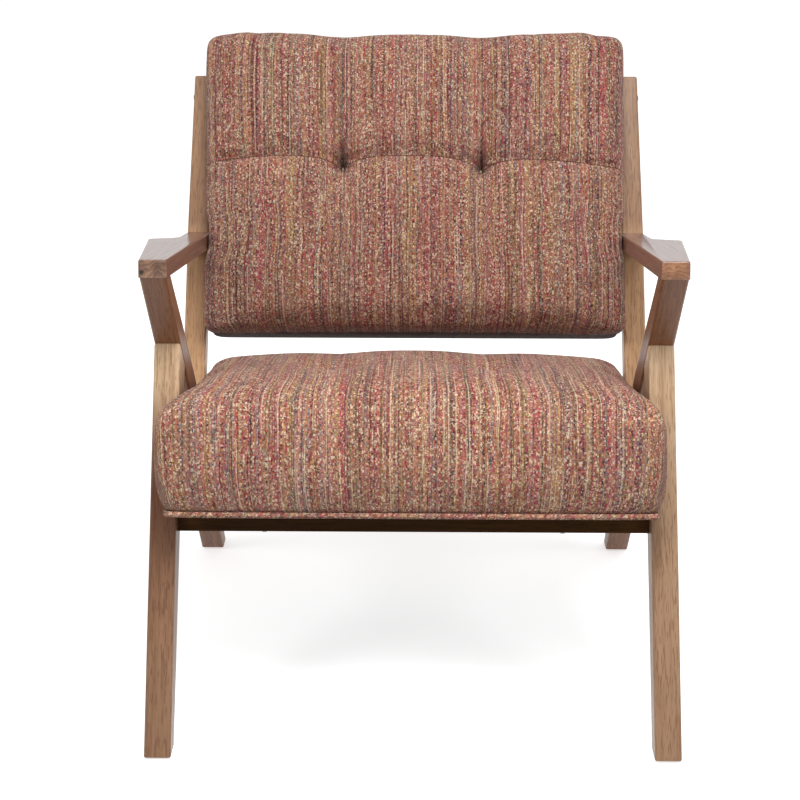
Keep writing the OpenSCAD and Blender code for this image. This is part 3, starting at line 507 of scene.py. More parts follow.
# Painted shade on the front legs: how much of the darker tint each has at each height.
# Their tops are left light as a painted highlight on the finish, and the left leg is
# darkest where the nose of the seat shades it.
LEG_PAINTED_SHADE = {
    -1: ((0.0, 0.77), (0.10, 0.75), (0.23, 0.88), (0.30, 1.0), (0.354, 0.8), (0.40, 0.35),
         (0.43, 0.03)),
    1: ((0.0, 0.66), (0.25, 0.55), (0.354, 0.3), (0.42, 0.0))}
ARM_SEED = {-1: 1.7, 1: 2.7}
# Each arm's end grain: heart, knot, and the wood's light, middle and dark tones
ARM_END = {
    -1: ((-0.306, -0.040), (-0.3290, -0.0150), (166, 128, 100), (114, 84, 68), (84, 62, 50)),
    1: ((0.316, -0.038), None, (180, 132, 96), (134, 92, 66), (102, 66, 46))}


def floor_plane(place):
    """The plane of the glides' tops, on a piece's own axes."""
    a = place[1](np.array([0, 0, GLIDE_H], float))
    return a, place[1](np.array([0, 0, GLIDE_H + 1], float)) - a


def rear_depth(z):
    """Depth of a rear leg at a height z along it, measured up from the knee: slim at
    the top, full at the belly, tapering to the foot. Straight between its sizes."""
    knots = [-REAR_LEN, -REAR_BELLY_DROP, 0, REAR_NECK_RISE]
    return np.interp(z, knots, [REAR_FOOT_D, REAR_BELLY_D, REAR_KNEE_D, REAR_TOP_D])


def smooth_depth(z, width=26.0):
    """rear_depth averaged over a short length, so that the belly and neck are curves."""
    return np.mean([rear_depth(z + o) for o in np.linspace(-width, width, 13)], axis=0)


def side_frame(side):
    """Front leg, rear leg, post and arm of one side."""
    hand = "left" if side < 0 else "right"
    top = KNEE_H / math.cos(LEG_LEAN)
    swell = (LEG_KNEE_D - LEG_FOOT_D) / top
    front_sections = [(-OVERRUN, 0, LEG_FOOT_D - OVERRUN * swell, INNER_X, OUTER_X),
                      (top + OVERRUN, 0, LEG_KNEE_D + OVERRUN * swell, INNER_X, OUTER_X)]
    bar("leg_front_" + hand, AT_FRONT_LEG, front_sections, np.linspace(60, top - 70, 6),
        floor_plane(AT_FRONT_LEG), plane_in(AT_FRONT_LEG, AT_REAR_LEG, (0, 0, 0), BACK),
        wood("walnut_front_" + hand, LEG_LEAN, seed=0.37 + side * 0.2, painted_shade=LEG_PAINTED_SHADE[side],
             **FRONT_LEG),
        "front_leg_" + hand, side)

    zs = np.linspace(-REAR_LEN - OVERRUN, 240, 91)
    rear_sections = [(z, 0, float(smooth_depth(z)), INNER_X, OUTER_X) for z in zs]
    bar("leg_rear_" + hand, AT_REAR_LEG, rear_sections, np.linspace(-REAR_LEN + 50, 120, 34),
        floor_plane(AT_REAR_LEG), plane_in(AT_REAR_LEG, AT_ARM, (0, 0, -ARM_T), UP),
        wood("walnut_rear_" + hand, -REAR_LEAN, seed=0.81 + side * 0.3, **REAR_LEG),
        "rear_leg_" + hand, side)

    fall = math.atan2(REAR_BELLY_D - REAR_FOOT_D, REAR_LEN - REAR_BELLY_DROP)
    foot = plane_in(AT_BACK, AT_REAR_LEG, (0, REAR_BELLY_D, -REAR_BELLY_DROP),
                    (0, math.cos(fall), -math.sin(fall)))
    end = (np.array([0, 0, POST_RISE]), np.array([0, 0, 1.0]))
    low = -(BACK_LOW + POST_Z)
    post_sections = [(low, 0, POST_D, POST_INNER_X, OUTER_X), (0, 0, POST_D, POST_INNER_X, OUTER_X),
                     (POST_RISE, 0, POST_D, POST_INNER_X, OUTER_X - POST_TAPER)]
    bar("post_" + hand, AT_BACK, post_sections, np.linspace(POST_LOWEST, POST_RISE - 12, 16),
        foot, end, wood("walnut_post_" + hand, RECLINE, seed=1.43 + side * 0.4, **POST),
        "back_post_" + hand, side, ease=POST_EASE)
    arm(hand, side)


def rounded(a, p, b, r, n=10):
    """Points along an arc of radius r that rounds the corner at p between a and b."""
    a, p, b = map(np.array, (a, p, b))
    u, w = (a - p) / np.linalg.norm(a - p), (b - p) / np.linalg.norm(b - p)
    half = math.acos(float(u @ w)) / 2
    sweep = math.pi - 2 * half
    middle = p + (u + w) / np.linalg.norm(u + w) * r / math.sin(half)
    first, last = p + u * r / math.tan(half) - middle, p + w * r / math.tan(half) - middle
    k = np.linspace(0, 1, n)[:, None]
    return middle + (np.sin(sweep * (1 - k)) * first + np.sin(sweep * k) * last) / math.sin(sweep)


def arm_outline():
    """The arm's outline on its top face: a straight inner edge, an outer edge that
    widens to a rounded corner, and a hollow that leads into the neck at the post.
    Straight runs are cut into short steps."""
    in_x, far = INNER_X - ARM_INNER, ARM_L + 60.0
    front_in, front_out = [in_x, 0.0], [OUTER_X, 0.0]
    wide, neck = [OUTER_X + ARM_FLARE, ARM_FLARE_L], [OUTER_X, ARM_FLARE_L + ARM_FLARE_BACK]
    corners = np.vstack([
        [[in_x, far]], rounded([in_x, far], front_in, front_out, EDGE_R, 7),
        rounded(front_in, front_out, wide, EDGE_R, 7), rounded(front_out, wide, neck, ARM_CORNER_R),
        rounded(wide, neck, [OUTER_X, far], ARM_NECK_R), [[OUTER_X, far]]])
    out = []
    for a, b in zip(corners[:-1], corners[1:]):
        steps = max(1, int(np.linalg.norm(b - a) // 25))
        out += [a + (b - a) * k / steps for k in range(steps)]
    return np.array(out + [corners[-1]])


def inset_outline(line, d):
    """An open outline moved sideways by d, along the mean of its neighbours' normals."""
    way = np.gradient(line, axis=0)
    way /= np.linalg.norm(way, axis=1)[:, None]
    return line + d * np.stack([-way[:, 1], way[:, 0]], -1)


def arm(hand, side):
    """An arm: its outline in layers from the underside to the top, drawn in over the
    rounded edges, and each layer ended on the front face of the post."""
    line = arm_outline()
    inward = 1 if inset_outline(line, 1.0)[3, 0] > line[3, 0] else -1
    point, normal = plane_in(AT_ARM, AT_BACK, (0, 0, 0), BACK)
    layers = [(ARM_LOW_R + END_FLAT, -ARM_T)]
    turns = np.radians(np.linspace(0, 90, 7))
    for f in turns:
        layers.append((ARM_LOW_R * (1 - math.sin(f)), -ARM_T + ARM_LOW_R * (1 - math.cos(f))))
    for f in turns[::-1]:
        layers.append((ARM_TOP_R * (1 - math.sin(f)), -ARM_TOP_R * (1 - math.cos(f))))
    layers.append((ARM_TOP_R + END_FLAT, 0.0))
    rings = []
    for d, z in layers:
        ring = np.column_stack([inset_outline(line, inward * d), np.full(len(line), z)])
        reach = point[1] - (z - point[2]) * normal[2] / normal[1]
        ring[:, 1] = np.minimum(ring[:, 1], reach - 0.4)
        rings.append(ring)
    finish = wood("walnut_arm_" + hand, ARM_SLOPE, "y", seed=ARM_SEED[side], **ARM)
    end_grain(finish, AT_ARM, ARM_SLOPE, *ARM_END[side])
    ringed_piece("arm_rest_" + hand, AT_ARM, np.array(rings), side, finish.material, "arm_" + hand)


for side in (-1, 1):
    side_frame(side)


def rail(name, y, node):
    """A rail between the side frames, flat under the seat, with softened edges."""
    finish = wood("walnut_" + name, 0, "x", seed=3.1 + y * 0.001, **RAIL)
    ring = corner_ring(y, y + RAIL_T, -RAIL_H, 0, 2.0, 0)
    xs = np.linspace(-INNER_X, INNER_X, 9)
    rings = np.array([np.column_stack([np.full(len(ring), x), ring]) for x in xs])
    ringed_piece(name, AT_SEAT, rings, 1, finish.material, node)


rail("rail_front", FRONT_RAIL_Y, "front_rail")
rail("rail_rear", REAR_RAIL_Y, "rear_rail")


# Cushions
def ease(a, b, x):
    """0 below a, 1 above b, and a smooth step between."""
    t = np.clip((x - a) / (b - a), 0, 1)
    return t * t * (3 - 2 * t)


def hill(dx, dy, rx, ry):
    """A bell with its top at zero."""
    return np.exp(-(dx / rx) ** 2 / 2 - (dy / ry) ** 2 / 2)


def spread(n, spots=(), reach=0.06, crowd=2.2):
    """n + 1 numbers from -1 to 1, closer together near the ends and near the spots."""
    x = np.linspace(-1, 1, 2001)
    density = 1 + 2.5 * (np.exp((x - 1) / 0.05) + np.exp((-1 - x) / 0.05))
    for c in spots:
        density += crowd * np.exp(-((x - c) / reach) ** 2)
    total = np.concatenate([[0], np.cumsum(density[1:] + density[:-1])])
    return np.interp(np.linspace(0, total[-1], n + 1), total, x)


def edge_of(grid):
    """The border of a grid of points, walked once round."""
    return np.concatenate([grid[0, :-1], grid[:-1, -1], grid[-1, :0:-1], grid[:0:-1, 0]])


def walk(points):
    """Length along a line of points, from its start."""
    return np.concatenate([[0], np.cumsum(np.linalg.norm(np.diff(points, axis=0), axis=1))])


def cushion(name, place, face, rings, under, material, seam_row=None):
    """A closed cushion. face is a grid of points, rings run round it one after the
    other, and the grid under, whose border is the last ring, closes it. The weave map
    holds the lengths of the flat cloth: along the face's middle lines, and on over its
    edges down the sides. Below the seam row the cloth is another panel, so its stripes
    start elsewhere."""
    nv, nu = face.shape[0] - 1, face.shape[1] - 1
    ids = np.arange((nv + 1) * (nu + 1)).reshape(nv + 1, nu + 1)
    ring0 = edge_of(ids)
    m = len(ring0)
    inside = under[1:-1, 1:-1].reshape(-1, 3)
    points = np.concatenate([face.reshape(-1, 3)] + list(rings) + [inside])
    base = (nv + 1) * (nu + 1)
    rows = [ring0] + [base + k * m + np.arange(m) for k in range(len(rings))]
    low = np.zeros_like(ids)
    low[1:-1, 1:-1] = rows[-1][-1] + 1 + np.arange((nv - 1) * (nu - 1)).reshape(nv - 1, nu - 1)
    j, i = np.meshgrid(np.arange(nv + 1), np.arange(nu + 1), indexing="ij")
    low[edge_of(j), edge_of(i)] = rows[-1]

    def cells(a, b, c, d):
        return np.stack([a, b, c, d], -1).reshape(-1, 4)

    quads = [cells(ids[:-1, :-1], ids[:-1, 1:], ids[1:, 1:], ids[1:, :-1])]
    for a, b in zip(rows[:-1], rows[1:]):
        quads.append(cells(np.roll(a, -1), a, b, np.roll(b, -1)))
    quads.append(cells(low[:-1, :-1], low[1:, :-1], low[1:, 1:], low[:-1, 1:]))

    s = walk(face[nv // 2])
    t = walk(face[:, nu // 2])
    s, t = s - s[-1] / 2, t - t[-1] / 2
    flat = np.zeros((len(points), 2))
    flat[:base] = np.stack(np.meshgrid(s, t), -1).reshape(-1, 2)
    border = flat[ring0]
    out = np.stack([border[:, 0] / s[-1], border[:, 1] / t[-1]], -1)
    out = np.sign(out) * np.abs(out) ** 24
    out /= np.linalg.norm(out, axis=1)[:, None]
    reach = np.zeros(m)
    last = face.reshape(-1, 3)[ring0]
    for k, r in enumerate(rings):
        reach = reach + np.linalg.norm(r - last, axis=1).mean()
        flat[rows[k + 1]] = border + out * reach[:, None]
        last = r
    flat[low[1:-1, 1:-1].ravel()] = flat[ids[1:-1, 1:-1].ravel()] * 0.9
    flat *= 0.001
    faces = np.concatenate(quads)
    moved = place[0](points)
    if volume_sign(moved, [faces]) < 0:
        faces = faces[:, ::-1]
    weave = flat[faces]
    if seam_row is not None:
        weave[weave[..., 1].mean(1) < t[seam_row] * 0.001, :, 0] += 0.731
    piece = new_piece(name, moved, [faces], material, smooth=180, weave=weave.reshape(-1, 2))
    return piece, rows


# How many frames the cloth is blown up for, and how firm it is
CLOTH_FRAMES, STIFF, SHEAR, BENDING = 18, 12.0, 5.0, 0.8
# A free point's hold, how far cloth may move, in mm, and how much it may stretch
LOOSE, CLOTH_CAP, CLOTH_SLACK = 0.02, 6.0, 0.012


def inflate(piece, weight, pressure):
    """Blows a cushion up as cloth. weight holds, for each point, how firmly it keeps
    its place. No point moves further than CLOTH_CAP."""
    group = piece.vertex_groups.new(name="held")
    level = np.round(np.clip(weight, 0, 1) * 20).astype(int)
    for k in np.unique(level):
        if k:
            group.add(np.flatnonzero(level == k).tolist(), k / 20, "REPLACE")
    cloth = piece.modifiers.new("cloth", "CLOTH")
    c = cloth.settings
    c.quality, c.mass, c.air_damping = 5, 0.25, 2.0
    c.tension_stiffness = c.compression_stiffness = STIFF
    c.shear_stiffness, c.bending_stiffness = SHEAR, BENDING
    c.use_pressure, c.uniform_pressure_force = True, pressure
    c.vertex_group_mass, c.pin_stiffness = "held", 1.0
    c.shrink_min = -CLOTH_SLACK
    c.effector_weights.gravity = 0.0
    cloth.collision_settings.use_collision = False
    cloth.point_cache.frame_start, cloth.point_cache.frame_end = 1, CLOTH_FRAMES
    for f in range(1, CLOTH_FRAMES + 1):
        scene.frame_set(f)
    n = len(piece.data.vertices)
    start, end = np.empty(n * 3), np.empty(n * 3)
    piece.data.vertices.foreach_get("co", start)
    piece.evaluated_get(bpy.context.evaluated_depsgraph_get()).data.vertices.foreach_get("co", end)
    move = (end - start).reshape(-1, 3) * 1000
    far = np.linalg.norm(move, axis=1)
    move *= (CLOTH_CAP * np.tanh(far / CLOTH_CAP) / np.maximum(far, 1e-9))[:, None]
    piece.modifiers.remove(cloth)
    scene.frame_set(1)
    piece.data.vertices.foreach_set("co", start + move.ravel() * 0.001)
    piece.data.update()
    print(piece.name, "moved by cloth: mean %.1f mm, most %.1f mm" % (far.mean(), far.max()))


def push(piece, offsets):
    """Moves a piece's first points by offsets, in mm."""
    co = np.empty(len(piece.data.vertices) * 3)
    piece.data.vertices.foreach_get("co", co)
    co[:offsets.size] += offsets.ravel() * 0.001
    piece.data.vertices.foreach_set("co", co)
    piece.data.update()


def soften(piece):
    """One subdivision, the same on screen and in the render."""
    made = piece.modifiers.new("rounding", "SUBSURF")
    made.levels = made.render_levels = 1


# Seat
SEAT_NOSE, SEAT_CROWN, SIDE_RISE, WELT_JOIN, WELT_SHARE = 12.0, 17.0, 0.70, -95.0, 0.6
DIMPLE_D, DIMPLE_Y, VALLEY_Y, UNDER_Z, UNDER_IN = 12, 0.46 * SEAT_L, 0.7 * SEAT_L, 1.6, 24.0
# The seat's sides: share of the nose's swell, how far drawn in, and height as a share
SEAT_SIDES = [(0.98, 0, 0.46), (0.94, 0, 0.38), (0.88, 0.4, 0.30), (0.80, 0.8, 0.22),
              (0.72, 1.3, 0.15), (0.66, 1.9, 0.105)]
# Its edge behind the welt: how far drawn in, and height
SEAT_EDGE = [(3.4, WELT_D + 2.4), (EDGE_DRAW, WELT_D + 0.4), (EDGE_DRAW, UNDER_Z),
             (UNDER_IN, UNDER_Z)]


def seat_plan(u, v, share, d=0.0):
    """The seat's outline on its own axes: a rectangle with softened corners. share is
    how much of the nose's swell it has, fuller on the left, and d is how far it is
    drawn in."""
    y0 = SEAT_L * (1 + v * (1 - 0.02 * u ** 14)) / 2
    swell = SEAT_NOSE * share * (1 - ease(14, 74, y0))
    x = ((SEAT_X + swell * (1.25 - 0.33 * u)) * (1 - 0.01 * v ** 18) - d) * u
    return x, y0 - d * v - swell * np.where(v < 0, np.abs(v) ** 3, 0)


SEAT_GRID = spread(114, [c / SEAT_X for c in TUFTS], crowd=1.2), spread(90)


def seat_face():
    """The seat's upper side. With s = sqrt((1 - |u|^40)(1 - |v|^p)) for its shoulders,
    its height is t (r + (1 - r) s) + crown (1 - u^2)(1 - |v|^3) s, less two dimples."""
    u, v = np.meshgrid(*SEAT_GRID)
    x, y = seat_plan(u, v, 1.0)
    t = SEAT_FRONT_T + (SEAT_REAR_T - SEAT_FRONT_T) * y / SEAT_L
    shoulder = np.sqrt((1 - np.abs(u) ** 40) * (1 - np.abs(v) ** np.where(v < 0, 6, 9)))
    crown = SEAT_CROWN * (1 - np.abs(u) ** 2) * (1 - np.abs(v) ** 3)
    dimples = sum(hill(x - c, y - DIMPLE_Y, 22, 24) + 0.35 * hill(x - c, y - VALLEY_Y, 30, 80)
                  for c in TUFTS)
    side = SIDE_RISE + (1 - SIDE_RISE) * shoulder
    z = t * side + crown * shoulder - DIMPLE_D * dimples * shoulder
    return u, v, np.stack([x, y, z], -1)


def seat_cushion():
    """The seat: its upper side, rings down its sides and in over the welt, and a flat
    underside."""
    u, v, face = seat_face()
    ue, ve = edge_of(u), edge_of(v)
    rings = []
    for share, d, h in SEAT_SIDES:
        x, y = seat_plan(ue, ve, share, d)
        rings.append(np.stack([x, y, np.full_like(x, SEAT_REAR_T * h)], -1))
    for d, z in SEAT_EDGE:
        x, y = seat_plan(ue, ve, WELT_SHARE, d)
        rings.append(np.stack([x, y, np.full_like(x, z)], -1))
    x, y = seat_plan(u, v, WELT_SHARE, UNDER_IN)
    under = np.stack([x, y, np.full_like(x, UNDER_Z)], -1)
    piece, rows = cushion("seat_cushion", AT_SEAT, face, rings, under, tweed("tweed_seat"))
    hold = np.full(len(piece.data.vertices), LOOSE)
    hold[rows[-5][0]:] = 1.0
    x, y = face[..., 0].ravel(), face[..., 1].ravel()
    dimple = sum(hill(x - c, y - DIMPLE_Y, 9, 9) for c in TUFTS)
    hold[:len(x)] = np.maximum(hold[:len(x)], dimple)
    inflate(piece, hold, 2.4)
    soften(piece)
    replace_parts(piece, "seat_cover")


def seat_piping():
    """The welt: a circle of radius WELT_D / 2 swept along the seat's drawn-in lower
    edge, with a small pinch in front where its two ends join."""
    u, v = np.meshgrid(*SEAT_GRID)
    x, y = seat_plan(edge_of(u), edge_of(v), WELT_SHARE, EDGE_DRAW - WELT_D / 2 - 0.3)
    path = np.stack([x, y], -1)
    way = np.roll(path, -1, 0) - np.roll(path, 1, 0)
    way /= np.linalg.norm(way, axis=1)[:, None]
    out = np.stack([way[:, 1], -way[:, 0]], -1)
    n, sides, r = len(path), 14, WELT_D / 2
    b = np.linspace(0, 2 * math.pi, sides, endpoint=False)
    pinch = 0.2 * hill(path[:, 0] - WELT_JOIN, 0, 1.6, 1) * (path[:, 1] < 20)
    thick = r * (1 - pinch)[:, None]
    points = np.empty((n, sides, 3))
    points[..., :2] = path[:, None] + (out[:, None] * (np.cos(b) * thick)[..., None])
    points[..., 2] = r + 0.3 + np.sin(b) * thick
    i, k = np.meshgrid(np.arange(n), np.arange(sides), indexing="ij")
    here, there, up = i * sides, (i + 1) % n * sides, (k + 1) % sides
    quad = np.stack([here + k, there + k, there + up, here + up], -1).reshape(-1, 4)
    run = np.append(walk(path), 0)
    run[-1] = run[-2] + np.linalg.norm(path[0] - path[-1])
    i0, k0 = i.ravel(), k.ravel()
    turn = 2 * math.pi * r / sides
    corners = ((0, 0), (1, 0), (1, 1), (0, 1))
    st = np.stack([np.stack([run[i0 + a], (k0 + c) * turn], -1) for a, c in corners], 1)
    st[(path[i0, 0] > WELT_JOIN)] += 37.0
    st = st @ (np.array([[0.8, 0.6], [-0.6, 0.8]])) * 0.001
    pts = AT_SEAT[0](points.reshape(-1, 3))
    if volume_sign(pts, [quad]) < 0:
        quad, st = quad[:, ::-1], st[:, ::-1]
    piece = new_piece("seat_piping", pts, [quad], tweed("tweed_piping"), smooth=180,
                      weave=st.reshape(-1, 2))
    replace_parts(piece, "seat_welt")


# Back
BACK_CROWN, BACK_EDGE, BACK_SWELL, TUFT_DEPTH, SEAM_DEPTH = 76.0, 40.0, 8.0, 30.0, 7.0
# BACK_SHADE tones the back's cloth down from the seat's: painted shade.
SEAM_DIP, SEAM_FALL, BACK_SHADE, CORNER_FALL = 15.0, 12.0, (222, 214, 206), 7.0
PANEL_X, PANEL_LOW, PANEL_HIGH, PANEL_Y = 284.8, -142.9, 286.9, 28.0
COVER_X, COVER_Y = 281.3, (17.1, 415.9)
BACK_MID, BACK_HALF = (BACK_HIGH - BACK_LOW) / 2, (BACK_HIGH + BACK_LOW) / 2
# How much the back's lower and upper edges bend in at the corners, how far below and
# above a tuft the painted shade of its fold runs, in metres, and how far past the lower
# edge the painted shade starts
LOW_BEND, HIGH_BEND, FOLD_LOW, FOLD_HIGH, SHADE_PAST = 0.014, 0.026, 0.017, 0.026, 20
# The back's sides: share of the swell, and depth
BACK_SIDES = [(0.99, -33.0), (0.96, -26.0), (0.9, -18.0), (0.55, -9.0), (0.1, -3.0),
              (0.0, 6.0), (0.0, 14.0), (0.0, 22.0), (0.0, PANEL_Y - 1)]


def back_plan(u, v, share):
    """The back's outline on its own axes: it swells above the arms, and less below."""
    h = BACK_MID + BACK_HALF * v * (1 - np.where(v < 0, LOW_BEND, HIGH_BEND) * u ** 48)
    free = np.maximum(0.4 * ease(4, 26, h) + 0.6 * ease(70, 250, h),
                      0.45 * ease(ARM_T + 4, ARM_T + 40, -h))
    wide = BACK_X + share * BACK_SWELL * free * (1.1 - 0.15 * u)
    return wide * u * (1 - 0.02 * v ** 36), h


def seam_shift(x, h):
    """How far the tufts and the sides pull the cloth down near the seam."""
    pulled = sum(1 / (1 + ((x - c) / 26) ** 2) for c in TUFTS)
    sides = SEAM_FALL * np.abs(x / BACK_X) ** 3
    return -hill(0, h - SEAM_V, 1, 50) * (SEAM_DIP * pulled + sides + 0.015 * x)


def back_rows(nv):
    """Rows of the back's face, with one on the seam."""
    seam = (SEAM_V - BACK_MID) / BACK_HALF
    v = spread(nv, [seam - 0.02, seam + 0.09], reach=0.08, crowd=1.3)
    row = int(np.argmin(np.abs(v - seam)))
    below = -1 + (v + 1) * (seam + 1) / (v[row] + 1)
    above = 1 - (1 - v) * (1 - seam) / (1 - v[row])
    return np.where(np.arange(nv + 1) <= row, below, above), row


def back_face(nu=140, nv=108):
    """The back's front. With s = sqrt((1 - |u|^8)(1 - |v|^7)) for its shoulders, it
    stands edge + crown (1 - 0.18 u^2 - 0.12 v^2) s in front of the posts, drawn in by
    bells at the seam and two tufts, with soft valleys above and below each tuft."""
    rows, row = back_rows(nv)
    u, v = np.meshgrid(spread(nu, [c / BACK_X for c in TUFTS]), rows)
    x, h = back_plan(u, v, 1.0)
    seam = hill(0, h - SEAM_V, 1, 9) * ease(1.0, 0.9, np.abs(u))
    lowered = h + seam_shift(x, h)
    shoulder = np.sqrt((1 - np.abs(u) ** 8) * (1 - np.abs(v) ** 7))
    crown = (BACK_CROWN - BACK_EDGE) * shoulder * (1 - 0.18 * u * u - 0.12 * v * v)
    tufts, valley, top = 0, 0, 0
    for c in TUFTS:
        high = SEAM_V + seam_shift(np.array(c), SEAM_V)
        dx, dh = x - c, lowered - high
        tufts = (tufts + 0.45 * hill(dx, dh, 13, 13) + 0.4 * hill(dx, dh, 5, 7)
                 + 0.35 * hill(dx, dh - 18, 3.2, 16))
        near = 0.6 * hill(0, dh, 1, 80) + 0.35 * ease(60, 280, h)
        valley = valley + hill(dx, 0, 26, 1) * near
        top = top + 4 * hill(dx, 0, 30, 1) * ease(180, 290, h)
    top = top + CORNER_FALL * ease(0.8, 1.0, np.abs(u)) * ease(200, 290, h)
    drawn = (SEAM_DEPTH * seam + 9 * valley * shoulder) * (1 - np.clip(tufts, 0, 1))
    y = -BACK_EDGE - crown + TUFT_DEPTH * tufts + drawn
    return u, v, row, np.stack([x, y, lowered - top], -1)


def back_cushion():
    """The back: its front, rings over its sides and in behind, and a flat rear that
    the rear panel covers."""
    u, v, row, face = back_face()
    ue, ve = edge_of(u), edge_of(v)
    border = edge_of(face)
    rings = []
    for share, y in BACK_SIDES:
        x, h = back_plan(ue, ve, share)
        top = (border[:, 2] - back_plan(ue, ve, 1.0)[1]) * share
        rings.append(np.stack([x, np.full_like(x, y), h + top], -1))

    def rear(u, v, share):
        x, h = back_plan(u, v, 0.0)
        return np.stack([x * share, np.full_like(x, PANEL_Y + 1),
                         BACK_MID + (h - BACK_MID) * share], -1)

    rings += [rear(ue, ve, share) for share in (0.995, 0.97)]
    t = walk(face[:, face.shape[1] // 2])
    seam_at = (t[row] - t[-1] / 2) * 0.001
    # Painted shade in the fold that runs below and above each tuft.
    tuft_fold_shades = [(c * 0.001, seam_at - FOLD_LOW, seam_at + FOLD_HIGH) for c in TUFTS]
    shade_from = -(t[-1] / 2 + SHADE_PAST) * 0.001
    cloth = tweed("tweed_back", (seam_at,), BACK_SHADE, tuft_fold_shades, shade_from)
    piece, rows = cushion("back_cushion", AT_BACK, face, rings, rear(u, v, 0.97), cloth,
                          seam_row=row)
    hold = np.full(len(piece.data.vertices), LOOSE)
    hold[rows[5][0]:] = 1.0
    grid = hold[:u.size].reshape(u.shape)
    grid[row, 6:-6] = 0.9
    xx, hh = face[..., 0], face[..., 2]
    spots = [(xx - c, hh - SEAM_V - seam_shift(np.array(c), SEAM_V)) for c in TUFTS]
    grid[sum(hill(dx, dh, 7, 7) for dx, dh in spots) > 0.3] = 1.0
    co = np.empty(len(hold) * 3)
    piece.data.vertices.foreach_get("co", co)
    own = AT_BACK[1](co.reshape(-1, 3) * 1000)
    by_arm = (np.abs(own[:, 0]) > BACK_X - 10) & (own[:, 2] > -ARM_T - 5) & (own[:, 2] < 5)
    inflate(piece, np.where(by_arm, 1.0, hold), 3.0)
    depth = np.zeros_like(xx)
    for c, (dx, dh) in zip(TUFTS, spots):
        fold = 9 * hill(dx, 0, 2.6, 1) * ease(-4, 2, dh) * (1 - ease(6, 46, dh))
        depth += 12 * hill(dx, dh, 5, 6) + fold
        around = np.arctan2(dh, dx)
        depth += 1.6 * np.cos(around * 7 + c) * hill(np.hypot(dx, dh) - 20, 0, 9, 1)
    push(piece, AT_BACK[0](np.stack([0 * depth, depth, 0 * depth], -1)) - AT_BACK[0](np.zeros(3)))
    soften(piece)
    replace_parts(piece, "back_cover")


def back_rear_panel():
    """The board that closes the back, covered in the same cloth: a low crown with its
    edges turned down, a little inside the cushion's outline and proud of it."""
    mid, half = (PANEL_LOW + PANEL_HIGH) / 2, (PANEL_HIGH - PANEL_LOW) / 2
    u, v = np.meshgrid(spread(60), spread(48))
    x, h = PANEL_X * u * (1 - 0.012 * v ** 36), mid + half * v * (1 - 0.015 * u ** 48)
    rise = ((1 - np.abs(u) ** 70) * (1 - np.abs(v) ** 56)) ** 0.35
    face = np.stack([x, PANEL_Y + 3.0 * rise + 1.2 * (1 - u * u) * (1 - v * v), h], -1)
    flat = np.stack([x, np.full_like(x, PANEL_Y - 0.6), h], -1)
    made = cushion("back_rear_panel", AT_BACK, face, [edge_of(flat)], flat,
                   tweed("tweed_panel"))
    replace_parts(made[0], "back_panel")


def dust_sheet():
    """The dust cover: thin black cloth stretched under the seat and over the rails,
    with a sag of 2.2 (1 - u^6) between them and fine ripples along its sides."""
    y0, y1 = COVER_Y
    u, v = np.meshgrid(np.linspace(-1, 1, 61), np.linspace(-1, 1, 45))
    y = (y0 + y1) / 2 + (y1 - y0) / 2 * v
    front, rear = FRONT_RAIL_Y + RAIL_T - SEAT_Y, REAR_RAIL_Y - SEAT_Y
    free = ease(front, front + 40, y) * (1 - ease(rear - 40, rear, y))
    z = 0.55 - 2.2 * free * (1 - u ** 6) + 0.12 * np.sin(u * 46) * free * np.abs(v) ** 3
    points = AT_SEAT[0](np.stack([COVER_X * u, y, z], -1).reshape(-1, 3))
    faces = strip_faces(45, 61, closed=False)
    st = np.stack([COVER_X * u, y], -1).reshape(-1, 2)[faces] * 0.001
    piece = new_piece("dust_sheet", points, [faces], MATERIALS["black_cloth"], smooth=60,
                      weave=st.reshape(-1, 2))
    wall = piece.modifiers.new("cloth_thickness", "SOLIDIFY")
    wall.thickness, wall.offset = 0.0005, 0.0
    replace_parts(piece, "seat_dust_cover")


seat_cushion()
seat_piping()
back_cushion()
back_rear_panel()

# Small parts
MATERIALS = {
    "pine": plain("pine_sawn", (205, 178, 132), 0.75, scale=120),
    "beech": plain("beech_dowel", (214, 184, 142), 0.6, scale=200),
    "foam": plain("foam_cut", (238, 226, 176), 0.95, scale=900, depth=0.0006),
    "webbing": plain("webbing_woven", (112, 84, 58), 0.85, scale=700, depth=0.0004),
    "steel": plain("steel_zinc", (150, 150, 152), 0.35, metal=1.0, scale=500, depth=0.00003),
    "glide": plain("nylon_black", (40, 38, 36), 0.5, scale=500),
    "thread": plain("twine_waxed", (58, 38, 32), 0.8, scale=1500),
    "black_cloth": plain("dust_cloth_black", (34, 34, 36), 0.95, scale=1400, depth=0.0002),
    "tweed": tweed("tweed_plain"),
    "walnut": wood("walnut_plain").material,
    "dark_walnut": wood("walnut_dark_plain").material,
}
bolt = plain("bolt_bronze", (52, 38, 30), 0.45, metal=0.6, scale=500, depth=0.00003)
slots = {p["node"]: p["material_slot"] for p in frame["record"]["subparts"]}
for name, node in NODES.items():
    finish = bolt if name == "back_bolts" else MATERIALS[slots[name]]
    if node.data.materials:
        for k in range(len(node.data.materials)):
            node.data.materials[k] = finish
    else:
        node.data.materials.append(finish)

dust_sheet()


# Floor, light and camera
FLOOR_HALF, FLOOR_GLOW, AIR = 30.0, 0.62, 0.46
# Each soft box: where it stands, where it faces, its width in metres and its watts
LAMPS = {
    "soft_top": ((0.3, -1.2, 2.9), (0, 0, 0.4), 1.5, 68),
    "soft_left": ((-2.3, -1.9, 2.3), (0, 0, 0.45), 0.9, 26),
    "soft_right": ((2.3, -1.6, 2.2), (0, 0, 0.45), 0.9, 20),
}
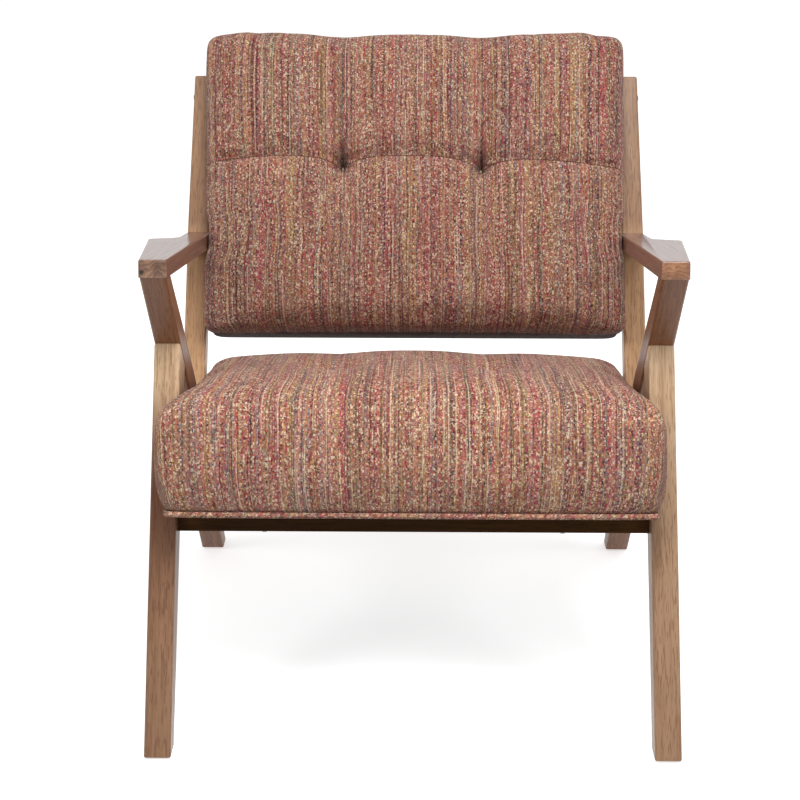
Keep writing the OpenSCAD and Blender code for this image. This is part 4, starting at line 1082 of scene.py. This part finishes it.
# The fitted camera: its place, its pitch and yaw in degrees, its focal length and
# upward shift in picture widths, and its sensor's width in millimetres
CAMERA_AT, PITCH, YAW = (0.008, -2.261, 1.196), 90 - 15, 0.7
FOCAL, SHIFT_Y, SENSOR = 1743 / 800, -0.2175, 36


def floor():
    """A pale studio floor."""
    mesh = bpy.data.meshes.new("studio_floor")
    r = FLOOR_HALF
    mesh.from_pydata([(-r, -r, 0), (r, -r, 0), (r, r, 0), (-r, r, 0)], [], [(0, 1, 2, 3)])
    obj = bpy.data.objects.new("studio_floor", mesh)
    scene.collection.objects.link(obj)
    f = Finish("floor_pale")
    tone = f.noise(f.place(), scale=1.5)
    pale = f.ramp(tone, [(0.3, (0.86, 0.86, 0.86, 1)), (0.7, (0.88, 0.88, 0.88, 1))])
    f.set(Base_Color=pale, Roughness=0.9, Specular_IOR_Level=0.0, Emission_Color=(1, 1, 1, 1),
          Emission_Strength=FLOOR_GLOW)
    mesh.materials.append(f.material)
    obj.visible_diffuse = False


def lamp(name, place, aim, size, power):
    """A square soft box that faces a point."""
    data = bpy.data.lights.new(name, "AREA")
    data.shape, data.size, data.energy = "SQUARE", size, power
    obj = bpy.data.objects.new(name, data)
    scene.collection.objects.link(obj)
    d = np.array(place, float) - np.array(aim, float)
    yaw, tilt = math.atan2(d[0], -d[1]), math.atan2(math.hypot(d[0], d[1]), d[2])
    obj.location, obj.rotation_euler = place, (tilt, 0, yaw)


def studio():
    """White air all round, and three soft boxes."""
    world = bpy.data.worlds.new("studio_air")
    world.use_nodes = True
    air = world.node_tree.nodes["Background"].inputs
    air["Color"].default_value, air["Strength"].default_value = (1, 1, 1, 1), AIR
    scene.world = world
    for name, values in LAMPS.items():
        lamp(name, *values)
    scene.view_settings.view_transform = "Standard"


def camera():
    """The photo's view."""
    data = bpy.data.cameras.new("photo_view")
    data.sensor_width, data.sensor_fit = SENSOR, "HORIZONTAL"
    data.lens, data.shift_y = FOCAL * SENSOR, SHIFT_Y
    obj = bpy.data.objects.new("photo_view", data)
    scene.collection.objects.link(obj)
    obj.location = CAMERA_AT
    obj.rotation_euler = (math.radians(PITCH), 0, math.radians(YAW))
    scene.camera = obj


floor()
studio()
camera()
